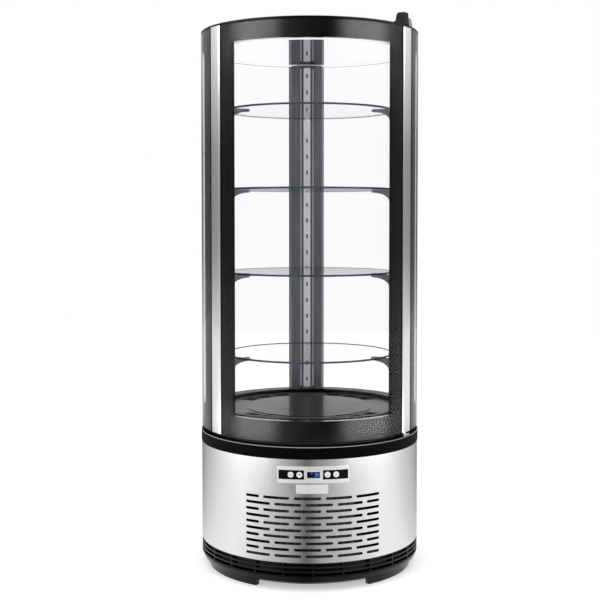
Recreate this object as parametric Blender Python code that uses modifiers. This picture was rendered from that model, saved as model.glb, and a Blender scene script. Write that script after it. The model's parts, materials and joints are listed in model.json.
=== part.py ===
"""Free-standing round refrigerated cake display case with a curved glass door."""
import math

import bmesh
import bpy
from mathutils import Matrix, Vector

# Driving dimensions in metres. Angles are in degrees from the front (-Y) towards +X.

SEGMENTS = 40             # facets round every drum piece, so that they all stay parallel
GAP = 0.0003              # seat clearance between pieces that touch
REACH = 0.5               # how far a cutter runs past the drum

# Stack of heights, from the floor up
PLINTH_HEIGHT = 0.085
BODY_HEIGHT = 0.303
COLLAR_HEIGHT = 0.036
RECESS_HEIGHT = 0.012
LOWER_BAND = 0.062
WINDOW_HEIGHT = 1.098
UPPER_BAND = 0.054
COVER_HEIGHT = 0.0065

# Drum and machine base
DRUM_RADIUS = 0.340
SHEET = 0.0015            # stainless sheet
PLINTH_WALL = 0.004
PLINTH_WEB = 0.006        # thickness of the inner flange at its top
PLINTH_EDGE = 0.002       # chamfer round its upper edge
PLINTH_FLARE = (0.006, 0.009)                     # how far in its flare starts, and how far above the foot
PLINTH_SHOULDER = 0.024   # where the side begins, above the foot
FOOT_HEIGHT = 0.018
FOOT_RADIUS = DRUM_RADIUS - 0.022
FOOT_WIDTH = 0.016
FOOT_NOTCH = 31.5         # half angle of the raised stretch at front and back
LOUVRE_COUNT = 24
LOUVRE_SHARE = 0.43       # part of a bay that is open on each side of its middle
LOUVRE_ROWS = 3
LOUVRE_PITCH = 0.0135
LOUVRE_SLOT = 0.0075
LOUVRE_BASE = 0.0475
PAN_THICKNESS = 0.002
PAN_RIM = 0.018
PAN_CLEAR = 0.0045        # between its rim and the drum's sheet
COLLAR_OVERHANG = 0.0015
COLLAR_EDGE = 0.003
COLLAR_INNER = DRUM_RADIUS - 0.0345

# Front grille: rows of long slots, each row ending in a short one
GRILLE_ROWS = 10
GRILLE_PITCH = 0.0188
GRILLE_SLOT = 0.008
GRILLE_BASE = 0.0196      # first row's centre above the plinth
GRILLE_HALF = 35.1
GRILLE_LONG = 13.4
GRILLE_BRIDGE = 2.27
REAR_GRILLE_HALF = 26.0
REAR_GRILLE_ROWS = 7
REAR_GRILLE_PITCH = 0.026
REAR_GRILLE_SLOT = 0.011
REAR_GRILLE_BASE = 0.030
REAR_GRILLE_COLUMNS = 3
REAR_GRILLE_LAP = 2.5     # how far it reaches behind the sheet at each side
REAR_GRILLE_MARGIN = 1.5
REAR_GRILLE_BRIDGE = 0.8  # half of the bridge between two slots

# Control panel
BEZEL_HALF = 17.9
BEZEL_HEIGHT = 0.049
BEZEL_DROP = 0.020        # bezel's top below the collar
BEZEL_PROUD = 0.0015
INSET_INNER = 4.6
INSET_OUTER = 17.2
INSET_HEIGHT = 0.027
PANEL_HALF = 17.4         # opening in the drum's sheet behind the bezel
PANEL_LAP = 0.002         # how far that opening passes the insets above and below
FASCIA_THICKNESS = 0.005
DISPLAY_HALF = 3.1
DISPLAY_HEIGHT = 0.017
DISPLAY_DEPTH = 0.006
BUTTON_RADIUS = 0.0085
BUTTON_TRAVEL = 0.0015
BUTTON_DEPTH = 0.0055     # its back face, behind the drum's face
BUTTON_ANGLES = {
    "button_power": -11.2,
    "button_set": -6.9,
    "button_down": 6.9,
    "button_up": 11.2,
}
CONTROL_BOX_HALF = 15.0
CONTROL_BOX_HEIGHT = 0.060
CONTROL_BOX_DEPTH = 0.003 # its back face, outside the collar's inner side
LUG_ANGLE = 2.2
LUG_HALF = 0.8
LUG_LEVELS = (0.0015, 0.0045)                     # its lower and upper side, above the display

# Cold tub under the deck
TUB_FLANGE = COLLAR_INNER + 0.009
TUB_INNER = COLLAR_INNER - 0.0355
TUB_DEPTH = 0.136
TUB_FLOOR = 0.025
DECK_DROP = 0.012         # deck's top below the window's lower edge
DECK_SHEET = 0.002
DECK_GLASS_RADIUS = DRUM_RADIUS - 0.140
DECK_GLASS_THICKNESS = 0.005
DECK_SLOT_RADIUS = DRUM_RADIUS - 0.1025
DECK_SLOT_WIDTH = 0.056
DECK_SLOTS = ((15.0, 28.0), (30.0, 43.0))

# Glazed drum
GLASS_RADIUS = DRUM_RADIUS - 0.0013
PANE = 0.004
FRAME_INNER = DRUM_RADIUS - 0.056
STOP_RADIUS = DRUM_RADIUS - 0.043                 # face that the door's gasket closes on
INNER_PANE_RADIUS = DRUM_RADIUS - 0.046
DOOR_INNER = DRUM_RADIUS - 0.029
DOOR_HALF = 62.5
PROFILE_SPAN = 9.15
PROFILE_CROWN = 0.0018
DOOR_REVEAL = 1.1
POST_SPAN = 7.0
STOP_LAP = 6.0            # how far the post's stop reaches behind the door's edge
WINDOW_HALF = 44.85
REBATE_LAP = 2.4
REBATE_HEIGHT = 0.008
REBATE_RADIUS = DRUM_RADIUS - 0.0177
DOOR_CLEAR = 0.001
GASKET_SPAN = 3.3
GASKET_INSET = 4.2
GASKET_EDGE = 0.006
GASKET_HEIGHT = 0.022

# Hinge
HINGE_INSET = 4.0
HINGE_RADIUS = DRUM_RADIUS - 0.012
PIN_RADIUS = 0.004
PIN_LENGTH = 0.018
PIN_CLEAR = 0.0003
CAP_LENGTH = 0.034
CAP_WIDTH = 0.028
CAP_HEIGHT = 0.036
CAP_PLACE = (-0.006, 0.002)                       # its middle from the pivot, along the rim and inwards
FLANGE_LENGTH = 0.062
FLANGE_WIDTH = 0.027
FLANGE_HEIGHT = 0.006
FLANGE_PLACE = (-0.003, 0.0055)
BRACKET_LENGTH = 0.040
BRACKET_WIDTH = 0.021
BRACKET_THICKNESS = 0.005
BOSS_RADII = (0.0095, 0.0065)

# Rear post
REAR_HALF = 10.2
REAR_FACE = FRAME_INNER - 0.012
REAR_FACE_HALF = 5.7
REAR_SHOULDER = FRAME_INNER + 0.004
CHANNEL_INNER = 3.4
CHANNEL_OUTER = 5.2
CHANNEL_DEPTH = 0.006
PILASTER_HALF = 2.5
PILASTER_DEPTH = 0.0057
PILASTER_PITCH = 0.0526
PILASTER_SLOT = (0.006, 0.014)
STRIP_INSET = 0.15        # led strip's side from the channel's side
STRIP_DEPTH = 0.002       # its face below the post's face

# Shelves
SHELF_HEIGHTS = (0.169, 0.425, 0.684, 0.929)      # shelf tops above the deck glass
SHELF_RADIUS = FRAME_INNER - 0.024
SHELF_THICKNESS = 0.006
RAIL_ANGLE = 62.0
RAIL_SPAN = 4.0
RAIL_DEPTH = 0.0072
ARM_REACH = 0.062
ARM_ROOT = 0.036
ARM_TIP = 0.009
ARM_WIDTH = 0.010
ARM_TAIL = 0.002          # how far it runs into its rail
ARM_NOSE = 0.003
ARM_HEEL = 0.006          # where the hollow curve ends, in front of the rail
RAIL_END = 0.010          # rails and strips stop this far from the rings

# Ceiling and cover
CEILING_DROP = 0.005      # its underside above the window's upper edge
CEILING_CHAMFER = (0.010, 0.004)
COVER_EDGE = 0.002
COVER_RIM = (0.030, 0.024)                        # slope behind the raised rim, from the drum's side

# Machine compartment
CONDENSER_SIZE = (0.250, 0.044, 0.170)
CONDENSER_Y = 0.105 - DRUM_RADIUS
CONDENSER_FINS = 12
SHROUD_THICKNESS = 0.024
FAN_RADIUS = 0.072
FAN_HUB = 0.020
FAN_CLEAR = 0.004         # between the blades and the shroud
FAN_BLADES = 5
BLADE_THICKNESS = 0.0016
BLADE_TWIST = 28.0
BLADE_OUTLINE = ((0.11, -0.20), (0.70, -0.30), (1.0, -0.14), (1.0, 0.16), (0.11, 0.18))
MOTOR_LENGTH = 0.030
MOTOR_RADIUS = 0.026
MOTOR_ARM = (2 * FAN_RADIUS + 0.030, 0.004, 0.014)
COMPRESSOR_RADIUS = 0.082
COMPRESSOR_HEIGHT = 0.165
COMPRESSOR_PLACE = (0.0, DRUM_RADIUS - 0.245)
COMPRESSOR_STEPS = 16
COMPRESSOR_PROFILE = (    # parts of its radius and of its height
    (0.0, 1.0), (0.55, 0.97), (0.90, 0.82), (1.0, 0.62), (1.0, 0.50), (1.04, 0.48), (1.0, 0.45),
    (0.97, 0.15), (0.75, 0.0), (0.0, 0.0))
MOUNT_HEIGHT = 0.012
MOUNT_PLATE = (0.190, 0.150, 0.003)
MOUNT_FOOT = 0.012
MOUNT_FEET = (0.080, 0.060)
TRAY_SIZE = (0.120, 0.150, 0.035)
TRAY_PLACE = (DRUM_RADIUS - 0.140, 0.075)
TRAY_WALL = 0.003
DRIER_RADIUS = 0.011
DRIER_LENGTH = 0.090
DRIER_PLACE = (-CONDENSER_SIZE[0] / 2 - 0.045, -0.060)
DRIER_PROFILE = (         # parts of its radius; levels above its foot
    (0.0, 0.030 + DRIER_LENGTH), (0.4, 0.030 + DRIER_LENGTH), (1.0, 0.015 + DRIER_LENGTH), (1.0, 0.025),
    (0.7, 0.010), (1.4, 0.003), (1.4, 0.0), (0.0, 0.0))
INLET_ANGLE = 146.0
INLET_SIZE = (0.048, 0.030, 0.028)
INLET_HEIGHT = 0.050
INLET_SOCKET = 0.6        # socket's share of the inlet's width and height
INLET_SOCKET_DEPTH = 0.018
PIPE_RADIUS = 0.004
PIPE_BEND = 0.015
PIPE_LEVEL = 0.55         # where the lines leave the compressor, as a part of its height
EVAPORATOR_SIZE = (0.230, 0.060, 0.085)
EVAPORATOR_Y = DRUM_RADIUS - 0.250
EVAPORATOR_FINS = 10
COLD_FAN_RADIUS = 0.036
COLD_FAN_HUB = 0.014
COLD_FAN_DEPTH = 0.012
COLD_FAN_SPACE = 0.060    # from the coil's face to the start of the fan's space
COLD_MOTOR_RADIUS = 0.016
COLD_STAND = (0.020, 0.024)

# Levels worked out from the stack
Z_BODY = PLINTH_HEIGHT
Z_COLLAR = Z_BODY + BODY_HEIGHT
Z_RECESS = Z_COLLAR + COLLAR_HEIGHT
Z_GLASS = Z_RECESS + RECESS_HEIGHT
Z_WINDOW = Z_GLASS + LOWER_BAND
Z_WINDOW_TOP = Z_WINDOW + WINDOW_HEIGHT
Z_GLASS_TOP = Z_WINDOW_TOP + UPPER_BAND
Z_COVER = Z_GLASS_TOP + COVER_HEIGHT
Z_DECK = Z_WINDOW - DECK_DROP
Z_DECK_GLASS = Z_DECK + GAP + DECK_GLASS_THICKNESS
Z_TUB_BOTTOM = Z_GLASS - TUB_DEPTH
Z_PAN = Z_BODY + GAP
Z_MACHINE = Z_PAN + PAN_THICKNESS + GAP
DOOR_BOTTOM = Z_GLASS + DOOR_CLEAR
DOOR_TOP = Z_GLASS_TOP - DOOR_CLEAR
FRAME_OUTER = GLASS_RADIUS - PANE - GAP
SHEET_INNER = DRUM_RADIUS - SHEET
COLLAR_RADIUS = DRUM_RADIUS + COLLAR_OVERHANG
BEZEL_TOP = Z_COLLAR - BEZEL_DROP
BEZEL_MIDDLE = BEZEL_TOP - BEZEL_HEIGHT / 2
FIXED_ANGLE = DOOR_HALF + DOOR_REVEAL
POST_ANGLE = FIXED_ANGLE + POST_SPAN
STOP_ANGLE = DOOR_HALF - STOP_LAP
DOOR_GLASS_HALF = DOOR_HALF - PROFILE_SPAN
HINGE_ANGLE = DOOR_HALF - HINGE_INSET
GAP_ANGLE = math.degrees(GAP / FRAME_INNER)


# Palette: colour, metallic, roughness
PALETTE = {
    "black_plastic": ((0.020, 0.020, 0.022), 0.0, 0.45),
    "gloss_black": ((0.012, 0.012, 0.014), 0.0, 0.12),
    "dark_paint": ((0.110, 0.110, 0.115), 0.2, 0.50),
    "grey_frame": ((0.130, 0.130, 0.135), 0.6, 0.40),
    "stainless": ((0.620, 0.620, 0.630), 1.0, 0.30),
    "aluminium": ((0.700, 0.700, 0.710), 1.0, 0.35),
    "white_plastic": ((0.800, 0.800, 0.800), 0.0, 0.35),
    "display": ((0.015, 0.030, 0.120), 0.0, 0.10),
    "glass": ((0.800, 0.900, 0.890), 0.0, 0.03),
    "led": ((0.900, 0.900, 0.880), 0.0, 0.40),
    "copper": ((0.750, 0.350, 0.200), 1.0, 0.35),
    "rubber": ((0.030, 0.030, 0.030), 0.0, 0.80),
    "foam_skin": ((0.450, 0.450, 0.460), 0.1, 0.50),
}


def make_collection(name):
    collection = bpy.data.collections.new(name)
    bpy.context.scene.collection.children.link(collection)
    return collection


def clear_scene():
    for old in list(bpy.data.objects):
        bpy.data.objects.remove(old, do_unlink=True)


def make_material(name, finish):
    colour, metallic, roughness = PALETTE[finish]
    material = bpy.data.materials.new(name)
    material.use_nodes = True
    shader = material.node_tree.nodes["Principled BSDF"]
    shader.inputs["Base Color"].default_value = (*colour, 1.0)
    shader.inputs["Metallic"].default_value = metallic
    shader.inputs["Roughness"].default_value = roughness
    return material


clear_scene()
PARTS = make_collection("cake_display_case")
CUTTERS = make_collection("cutters")


def add_piece(name, mesh, finish, smooth=False):
    """Put a finished mesh in the model as a piece with its own material."""
    piece = bpy.data.objects.new(name, mesh)
    PARTS.objects.link(piece)
    mesh.materials.append(make_material(name, finish))
    if smooth:
        mesh.shade_smooth()
        mesh.set_sharp_from_angle(angle=math.radians(35))
    return piece


def add_cutter(name, mesh):
    cutter = bpy.data.objects.new(name, mesh)
    CUTTERS.objects.link(cutter)
    cutter.hide_render = True
    cutter.display_type = "WIRE"
    return cutter


def combine(piece, other, operation):
    step = piece.modifiers.new(other.name, "BOOLEAN")
    step.operation = operation
    step.solver = "EXACT"
    step.object = other


def cut(piece, cutter):
    combine(piece, cutter, "DIFFERENCE")


def join(piece, other):
    combine(piece, other, "UNION")


def polar(radius, angle, z=0.0):
    """Point on the faceted circle: chords between grid angles, not the true arc."""
    facet = 360.0 / SEGMENTS
    offset = angle % facet - facet / 2
    reach = radius * math.cos(math.radians(facet / 2)) / math.cos(math.radians(offset))
    turn = math.radians(angle)
    return Vector((reach * math.sin(turn), -reach * math.cos(turn), z))


def arc(radius, start, end):
    """Points of the faceted circle from one angle to another, with every corner between."""
    facet = 360.0 / SEGMENTS
    first = math.floor(start / facet) + 1
    last = math.ceil(end / facet) - 1
    angles = [start] + [i * facet for i in range(first, last + 1)] + [end]
    return [polar(radius, angle).to_2d() for angle in angles]


def sector(inner, outer, start, end):
    """Plan outline of a ring's sector."""
    return arc(outer, start, end) + list(reversed(arc(inner, start, end)))


def screw_mesh(name, profile, on_axis):
    mesh = bpy.data.meshes.new(name)
    points = [(radius, 0.0, z) for radius, z in profile]
    edges = [(i, i + 1) for i in range(len(points) - 1)]
    if not on_axis:
        edges.append((len(points) - 1, 0))
    mesh.from_pydata(points, edges, [])
    return mesh


def spin(piece, steps):
    turn = piece.modifiers.new("turn", "SCREW")
    turn.axis = "Z"
    turn.angle = math.tau
    turn.steps = steps
    turn.render_steps = steps
    turn.use_merge_vertices = True
    turn.merge_threshold = 0.00001
    turn.use_smooth_shade = True


def turned(name, profile, finish, on_axis=False, steps=SEGMENTS):
    """Turned piece: the profile runs down its outer side, then up its inner side."""
    piece = add_piece(name, screw_mesh(name, profile, on_axis), finish)
    spin(piece, steps)
    return piece


def ring_profile(inner, outer, low, high):
    return [(outer, high), (outer, low), (inner, low), (inner, high)]


def ring_cutter(name, inner, outer, low, high, start=None, end=None):
    cutter = add_cutter(name, screw_mesh(name, ring_profile(inner, outer, low, high), False))
    spin(cutter, SEGMENTS)
    if start is not None:
        keep_sector(cutter, start, end)
    return cutter


def flat_mesh(name, outlines, thickness):
    """Closed plate from flat outlines; an outline inside another is a hole."""
    curve = bpy.data.curves.new(name, "CURVE")
    curve.dimensions = "2D"
    curve.fill_mode = "BOTH"
    curve.extrude = thickness / 2
    for outline in outlines:
        spline = curve.splines.new("POLY")
        spline.points.add(len(outline) - 1)
        for point, place in zip(spline.points, outline):
            point.co = (place[0], place[1], 0.0, 1.0)
        spline.use_cyclic_u = True
    return mesh_from_curve(name, curve)


def mesh_from_curve(name, curve):
    guide = bpy.data.objects.new(name, curve)
    bpy.context.scene.collection.objects.link(guide)
    bpy.context.view_layer.update()
    graph = bpy.context.evaluated_depsgraph_get()
    mesh = bpy.data.meshes.new_from_object(guide.evaluated_get(graph))
    bpy.data.objects.remove(guide, do_unlink=True)
    shape = bmesh.new()
    shape.from_mesh(mesh)
    bmesh.ops.remove_doubles(shape, verts=shape.verts, dist=0.000001)
    bmesh.ops.recalc_face_normals(shape, faces=shape.faces)
    shape.to_mesh(mesh)
    shape.free()
    return mesh


def upright_mesh(name, outlines, low, high):
    """Outlines in plan, carried straight up from one level to another."""
    mesh = flat_mesh(name, outlines, high - low)
    mesh.transform(Matrix.Translation((0.0, 0.0, (low + high) / 2)))
    return mesh


def facing_mesh(name, outlines, near, far):
    """Outlines in front view, carried back along +Y from near to far."""
    mesh = flat_mesh(name, outlines, far - near)
    mesh.transform(Matrix.Translation((0.0, (near + far) / 2, 0.0)) @ Matrix.Rotation(math.pi / 2, 4, "X"))
    return mesh


def wedge_mesh(name, start, end):
    steps = max(2, math.ceil((end - start) / 20.0))
    rim = [start + (end - start) * i / steps for i in range(steps + 1)]
    outline = [(0.0, 0.0)]
    for angle in rim:
        turn = math.radians(angle)
        outline.append((2 * REACH * math.sin(turn), -2 * REACH * math.cos(turn)))
    return upright_mesh(name, [outline], -REACH, Z_COVER + REACH)


def keep_sector(piece, start, end):
    """Keep only the part of a turned piece between two angles."""
    wedge = add_cutter(piece.name + "_wedge", wedge_mesh(piece.name + "_wedge", start, end))
    combine(piece, wedge, "INTERSECT")


def box_mesh(name, size, centre):
    mesh = bpy.data.meshes.new(name)
    shape = bmesh.new()
    place = Matrix.Translation(centre) @ Matrix.Diagonal((*size, 1.0))
    bmesh.ops.create_cube(shape, size=1.0, matrix=place)
    shape.to_mesh(mesh)
    shape.free()
    return mesh


def rod_mesh(name, radius, start, end, sides=16, tip=None):
    """Cylinder or cone between two points."""
    start = Vector(start)
    end = Vector(end)
    run = end - start
    turn = Vector((0.0, 0.0, 1.0)).rotation_difference(run).to_matrix().to_4x4()
    mesh = bpy.data.meshes.new(name)
    shape = bmesh.new()
    bmesh.ops.create_cone(
        shape, cap_ends=True, segments=sides, radius1=radius,
        radius2=radius if tip is None else tip, depth=run.length,
        matrix=Matrix.Translation((start + end) / 2) @ turn)
    shape.to_mesh(mesh)
    shape.free()
    return mesh


def group_mesh(name, meshes):
    """One mesh that holds several closed shapes, for a cutter or a joining piece."""
    shape = bmesh.new()
    for mesh in meshes:
        shape.from_mesh(mesh)
        bpy.data.meshes.remove(mesh)
    whole = bpy.data.meshes.new(name)
    shape.to_mesh(whole)
    shape.free()
    return whole


def pipe(name, points, finish):
    curve = bpy.data.curves.new(name, "CURVE")
    curve.dimensions = "3D"
    curve.bevel_depth = PIPE_RADIUS
    curve.bevel_resolution = 2
    curve.use_fill_caps = True
    spline = curve.splines.new("POLY")
    spline.points.add(len(points) - 1)
    for point, place in zip(spline.points, points):
        point.co = (*place, 1.0)
    return add_piece(name, mesh_from_curve(name, curve), finish, smooth=True)


def bend_points(corners, radius, steps=3):
    """Straight runs with each corner rounded by a short arc of points."""
    points = [Vector(corners[0])]
    for before, corner, after in zip(corners, corners[1:], corners[2:]):
        corner = Vector(corner)
        start = corner + (Vector(before) - corner).normalized() * radius
        end = corner + (Vector(after) - corner).normalized() * radius
        for i in range(steps + 1):
            t = i / steps
            points.append(start * (1 - t) ** 2 + corner * 2 * t * (1 - t) + end * t ** 2)
    points.append(Vector(corners[-1]))
    return points


def stand_at(angle, radius):
    """Frame on the drum: X along the rim, Y inwards, Z up."""
    return Matrix.Translation(polar(radius, angle)) @ Matrix.Rotation(math.radians(angle), 4, "Z")


def set_origin(piece, place):
    """Move a piece's origin without moving the piece."""
    piece.data.transform(Matrix.Translation(-Vector(place)))
    piece.location = place


def slot_outline(start, end, middle, height):
    """Long slot with round ends, in front view."""
    radius = height / 2
    points = []
    for i in range(4):
        turn = math.radians(-90 + 60 * i)
        points.append((end - radius + radius * math.cos(turn), middle + radius * math.sin(turn)))
    for i in range(4):
        turn = math.radians(90 + 60 * i)
        points.append((start + radius + radius * math.cos(turn), middle + radius * math.sin(turn)))
    return points


def box_outline(start, end, low, high):
    return [(start, low), (end, low), (end, high), (start, high)]


def across(radius, angle):
    """Distance from the middle plane of a point on the drum."""
    return radius * math.sin(math.radians(angle))


# Machine base

def build_plinth():
    r = DRUM_RADIUS
    top = PLINTH_HEIGHT
    wall = PLINTH_WALL
    inner_foot = FOOT_RADIUS - FOOT_WIDTH
    flare = r - PLINTH_FLARE[0]
    knee = FOOT_HEIGHT + PLINTH_FLARE[1]
    shoulder = FOOT_HEIGHT + PLINTH_SHOULDER
    profile = [
        (r - PLINTH_EDGE, top), (r, top - PLINTH_EDGE), (r, shoulder), (flare, knee),
        (FOOT_RADIUS, FOOT_HEIGHT), (FOOT_RADIUS, 0.0), (inner_foot, 0.0), (inner_foot, FOOT_HEIGHT + wall),
        (flare - wall, knee + wall), (r - wall, shoulder + wall), (r - wall, top - PLINTH_WEB),
        (inner_foot, top - PLINTH_WEB), (inner_foot, top),
    ]
    plinth = turned("plinth", profile, "black_plastic")
    for facing, middle in (("front", 0.0), ("rear", 180.0)):
        wedge = upright_mesh(
            "notch_" + facing,
            [sector(0.7 * FOOT_RADIUS, r, middle - FOOT_NOTCH, middle + FOOT_NOTCH)],
            -REACH, FOOT_HEIGHT - 0.001)
        cut(plinth, add_cutter("notch_" + facing, wedge))
    cut(plinth, add_cutter("louvres", louvre_mesh()))


def louvre_mesh():
    """Slots between the plinth's upright ribs."""
    bay = 360.0 / LOUVRE_COUNT
    bays = []
    for i in range(LOUVRE_COUNT):
        middle = bay * (i + 0.5)
        inner = DRUM_RADIUS - 3 * PLINTH_WALL
        outer = DRUM_RADIUS + 3 * PLINTH_WALL
        half = LOUVRE_SHARE * bay
        corners = ((inner, -half), (outer, -half), (outer, half), (inner, half))
        bays.append([polar(radius, middle + turn).to_2d() for radius, turn in corners])
    rows = []
    for row in range(LOUVRE_ROWS):
        low = LOUVRE_BASE + row * LOUVRE_PITCH
        rows.append(upright_mesh("louvre_row", bays, low, low + LOUVRE_SLOT))
    return group_mesh("louvres", rows)


def build_base_pan():
    rim = SHEET_INNER - PAN_CLEAR
    low = Z_PAN
    turned("base_pan", [
        (0.0, low + PAN_THICKNESS), (rim - PAN_THICKNESS, low + PAN_THICKNESS),
        (rim - PAN_THICKNESS, low + PAN_RIM), (rim, low + PAN_RIM), (rim, low), (0.0, low),
    ], "dark_paint", on_axis=True)


def grille_outlines():
    """Slots of the front grille: odd rows start with the short slot, even rows end with it."""
    short = 2 * GRILLE_HALF - 4 * (GRILLE_LONG + GRILLE_BRIDGE)
    outlines = []
    for row in range(GRILLE_ROWS):
        middle = Z_BODY + GRILLE_BASE + row * GRILLE_PITCH
        widths = [GRILLE_LONG] * 4 + [short]
        if row % 2:
            widths.reverse()
        start = -GRILLE_HALF
        for width in widths:
            ends = (across(DRUM_RADIUS, start), across(DRUM_RADIUS, start + width))
            outlines.append(slot_outline(*ends, middle, GRILLE_SLOT))
            start += width + GRILLE_BRIDGE
    return outlines


def build_body_panel():
    low = Z_BODY + GAP
    high = Z_COLLAR - GAP
    panel = turned("body_panel", ring_profile(SHEET_INNER, DRUM_RADIUS, low, high), "stainless")
    near = -DRUM_RADIUS - 0.02
    cut(panel, add_cutter("grille_slots", facing_mesh("grille_slots", grille_outlines(), near, -0.2)))
    opening = box_outline(
        -across(DRUM_RADIUS, PANEL_HALF), across(DRUM_RADIUS, PANEL_HALF),
        BEZEL_MIDDLE - INSET_HEIGHT / 2 - PANEL_LAP, BEZEL_MIDDLE + INSET_HEIGHT / 2 + PANEL_LAP)
    cut(panel, add_cutter("panel_opening", facing_mesh("panel_opening", [opening], near, -0.2)))
    half = across(DRUM_RADIUS, REAR_GRILLE_HALF)
    rear = box_outline(-half, half, Z_BODY + 0.022, Z_BODY + rear_grille_height() - 0.010)
    cut(panel, add_cutter("rear_opening", facing_mesh("rear_opening", [rear], 0.2, -near)))
    hole = box_mesh(
        "inlet_hole", (INLET_SIZE[0] + 0.001, 0.04, INLET_SIZE[1] + 0.001),
        (0.0, 0.0, Z_BODY + INLET_HEIGHT))
    hole.transform(stand_at(INLET_ANGLE, DRUM_RADIUS))
    cut(panel, add_cutter("inlet_hole", hole))


def rear_grille_height():
    return REAR_GRILLE_BASE + REAR_GRILLE_ROWS * REAR_GRILLE_PITCH + 0.012


def build_rear_grille():
    outer = SHEET_INNER - GAP
    low = Z_BODY + 0.020
    high = Z_BODY + rear_grille_height()
    panel = turned("rear_grille", ring_profile(outer - SHEET, outer, low, high), "dark_paint")
    reach = REAR_GRILLE_HALF + REAR_GRILLE_LAP
    keep_sector(panel, 180.0 - reach, 180.0 + reach)
    slots = []
    width = 2 * (REAR_GRILLE_HALF - REAR_GRILLE_MARGIN) / REAR_GRILLE_COLUMNS
    half_slot = REAR_GRILLE_SLOT / 2
    for row in range(REAR_GRILLE_ROWS):
        middle = Z_BODY + REAR_GRILLE_BASE + (row + 0.5) * REAR_GRILLE_PITCH
        for column in range(REAR_GRILLE_COLUMNS):
            start = -REAR_GRILLE_HALF + REAR_GRILLE_MARGIN + column * width
            left = across(outer, start + REAR_GRILLE_BRIDGE)
            right = across(outer, start + width - REAR_GRILLE_BRIDGE)
            slots.append(box_outline(left, right, middle - half_slot, middle + half_slot))
    cut(panel, add_cutter("rear_slots", facing_mesh("rear_slots", slots, 0.2, DRUM_RADIUS + 0.02)))


def build_collar():
    r = COLLAR_RADIUS
    turned("collar_ring", [
        (r - COLLAR_EDGE, Z_RECESS), (r, Z_RECESS - COLLAR_EDGE), (r, Z_COLLAR + COLLAR_EDGE),
        (r - COLLAR_EDGE, Z_COLLAR), (COLLAR_INNER, Z_COLLAR), (COLLAR_INNER, Z_RECESS),
    ], "gloss_black")


# Control panel

def inset_outline(side):
    ends = sorted((side * across(DRUM_RADIUS, INSET_INNER), side * across(DRUM_RADIUS, INSET_OUTER)))
    return box_outline(*ends, BEZEL_MIDDLE - INSET_HEIGHT / 2, BEZEL_MIDDLE + INSET_HEIGHT / 2)


def build_bezel():
    inner = DRUM_RADIUS + GAP
    outer = DRUM_RADIUS + BEZEL_PROUD
    profile = ring_profile(inner, outer, BEZEL_TOP - BEZEL_HEIGHT, BEZEL_TOP)
    bezel = turned("control_bezel", profile, "aluminium")
    keep_sector(bezel, -BEZEL_HALF, BEZEL_HALF)
    half = across(DRUM_RADIUS, DISPLAY_HALF)
    window = box_outline(-half - GAP, half + GAP, BEZEL_MIDDLE - DISPLAY_HEIGHT / 2 - GAP,
                         BEZEL_MIDDLE + DISPLAY_HEIGHT / 2 + GAP)
    holes = [inset_outline(-1), inset_outline(1), window]
    cut(bezel, add_cutter("bezel_holes", facing_mesh("bezel_holes", holes, -DRUM_RADIUS - 0.02, -0.2)))


def build_control_panel():
    """Black fascia behind the bezel, with a hole for each button and the display."""
    outer = DRUM_RADIUS
    low = BEZEL_MIDDLE - INSET_HEIGHT / 2 - PANEL_LAP + GAP
    high = BEZEL_MIDDLE + INSET_HEIGHT / 2 + PANEL_LAP - GAP
    fascia = turned("control_panel", ring_profile(outer - FASCIA_THICKNESS, outer, low, high), "gloss_black")
    reach = PANEL_HALF - GAP_ANGLE
    keep_sector(fascia, -reach, reach)
    bores = []
    for angle in BUTTON_ANGLES.values():
        bores.append(rod_mesh("bore", BUTTON_RADIUS + GAP, polar(DRUM_RADIUS - 0.02, angle, BEZEL_MIDDLE),
                              polar(DRUM_RADIUS + 0.02, angle, BEZEL_MIDDLE), 20))
    cut(fascia, add_cutter("button_bores", group_mesh("button_bores", bores)))
    half = across(DRUM_RADIUS, DISPLAY_HALF) + GAP
    window = box_outline(-half, half, BEZEL_MIDDLE - DISPLAY_HEIGHT / 2 - GAP,
                         BEZEL_MIDDLE + DISPLAY_HEIGHT / 2 + GAP)
    cut(fascia, add_cutter("display_hole", facing_mesh("display_hole", [window], -DRUM_RADIUS - 0.02, -0.2)))


def build_display():
    outer = DRUM_RADIUS + BEZEL_PROUD - 0.0004
    low = BEZEL_MIDDLE - DISPLAY_HEIGHT / 2
    profile = ring_profile(outer - DISPLAY_DEPTH, outer, low, low + DISPLAY_HEIGHT)
    window = turned("display_window", profile, "display")
    keep_sector(window, -DISPLAY_HALF, DISPLAY_HALF)


def build_buttons():
    for name, angle in BUTTON_ANGLES.items():
        outer = DRUM_RADIUS + BEZEL_PROUD - 0.0002
        inner = DRUM_RADIUS - BUTTON_DEPTH
        centre = polar(outer, angle, BEZEL_MIDDLE)
        mesh = rod_mesh(name, BUTTON_RADIUS, polar(inner, angle, BEZEL_MIDDLE), centre, 20)
        button = add_piece(name, mesh, "white_plastic", smooth=True)
        set_origin(button, centre)
        edge = button.modifiers.new("edge", "BEVEL")
        edge.width = 0.0006
        edge.segments = 1
        edge.angle_limit = math.radians(60)


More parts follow.
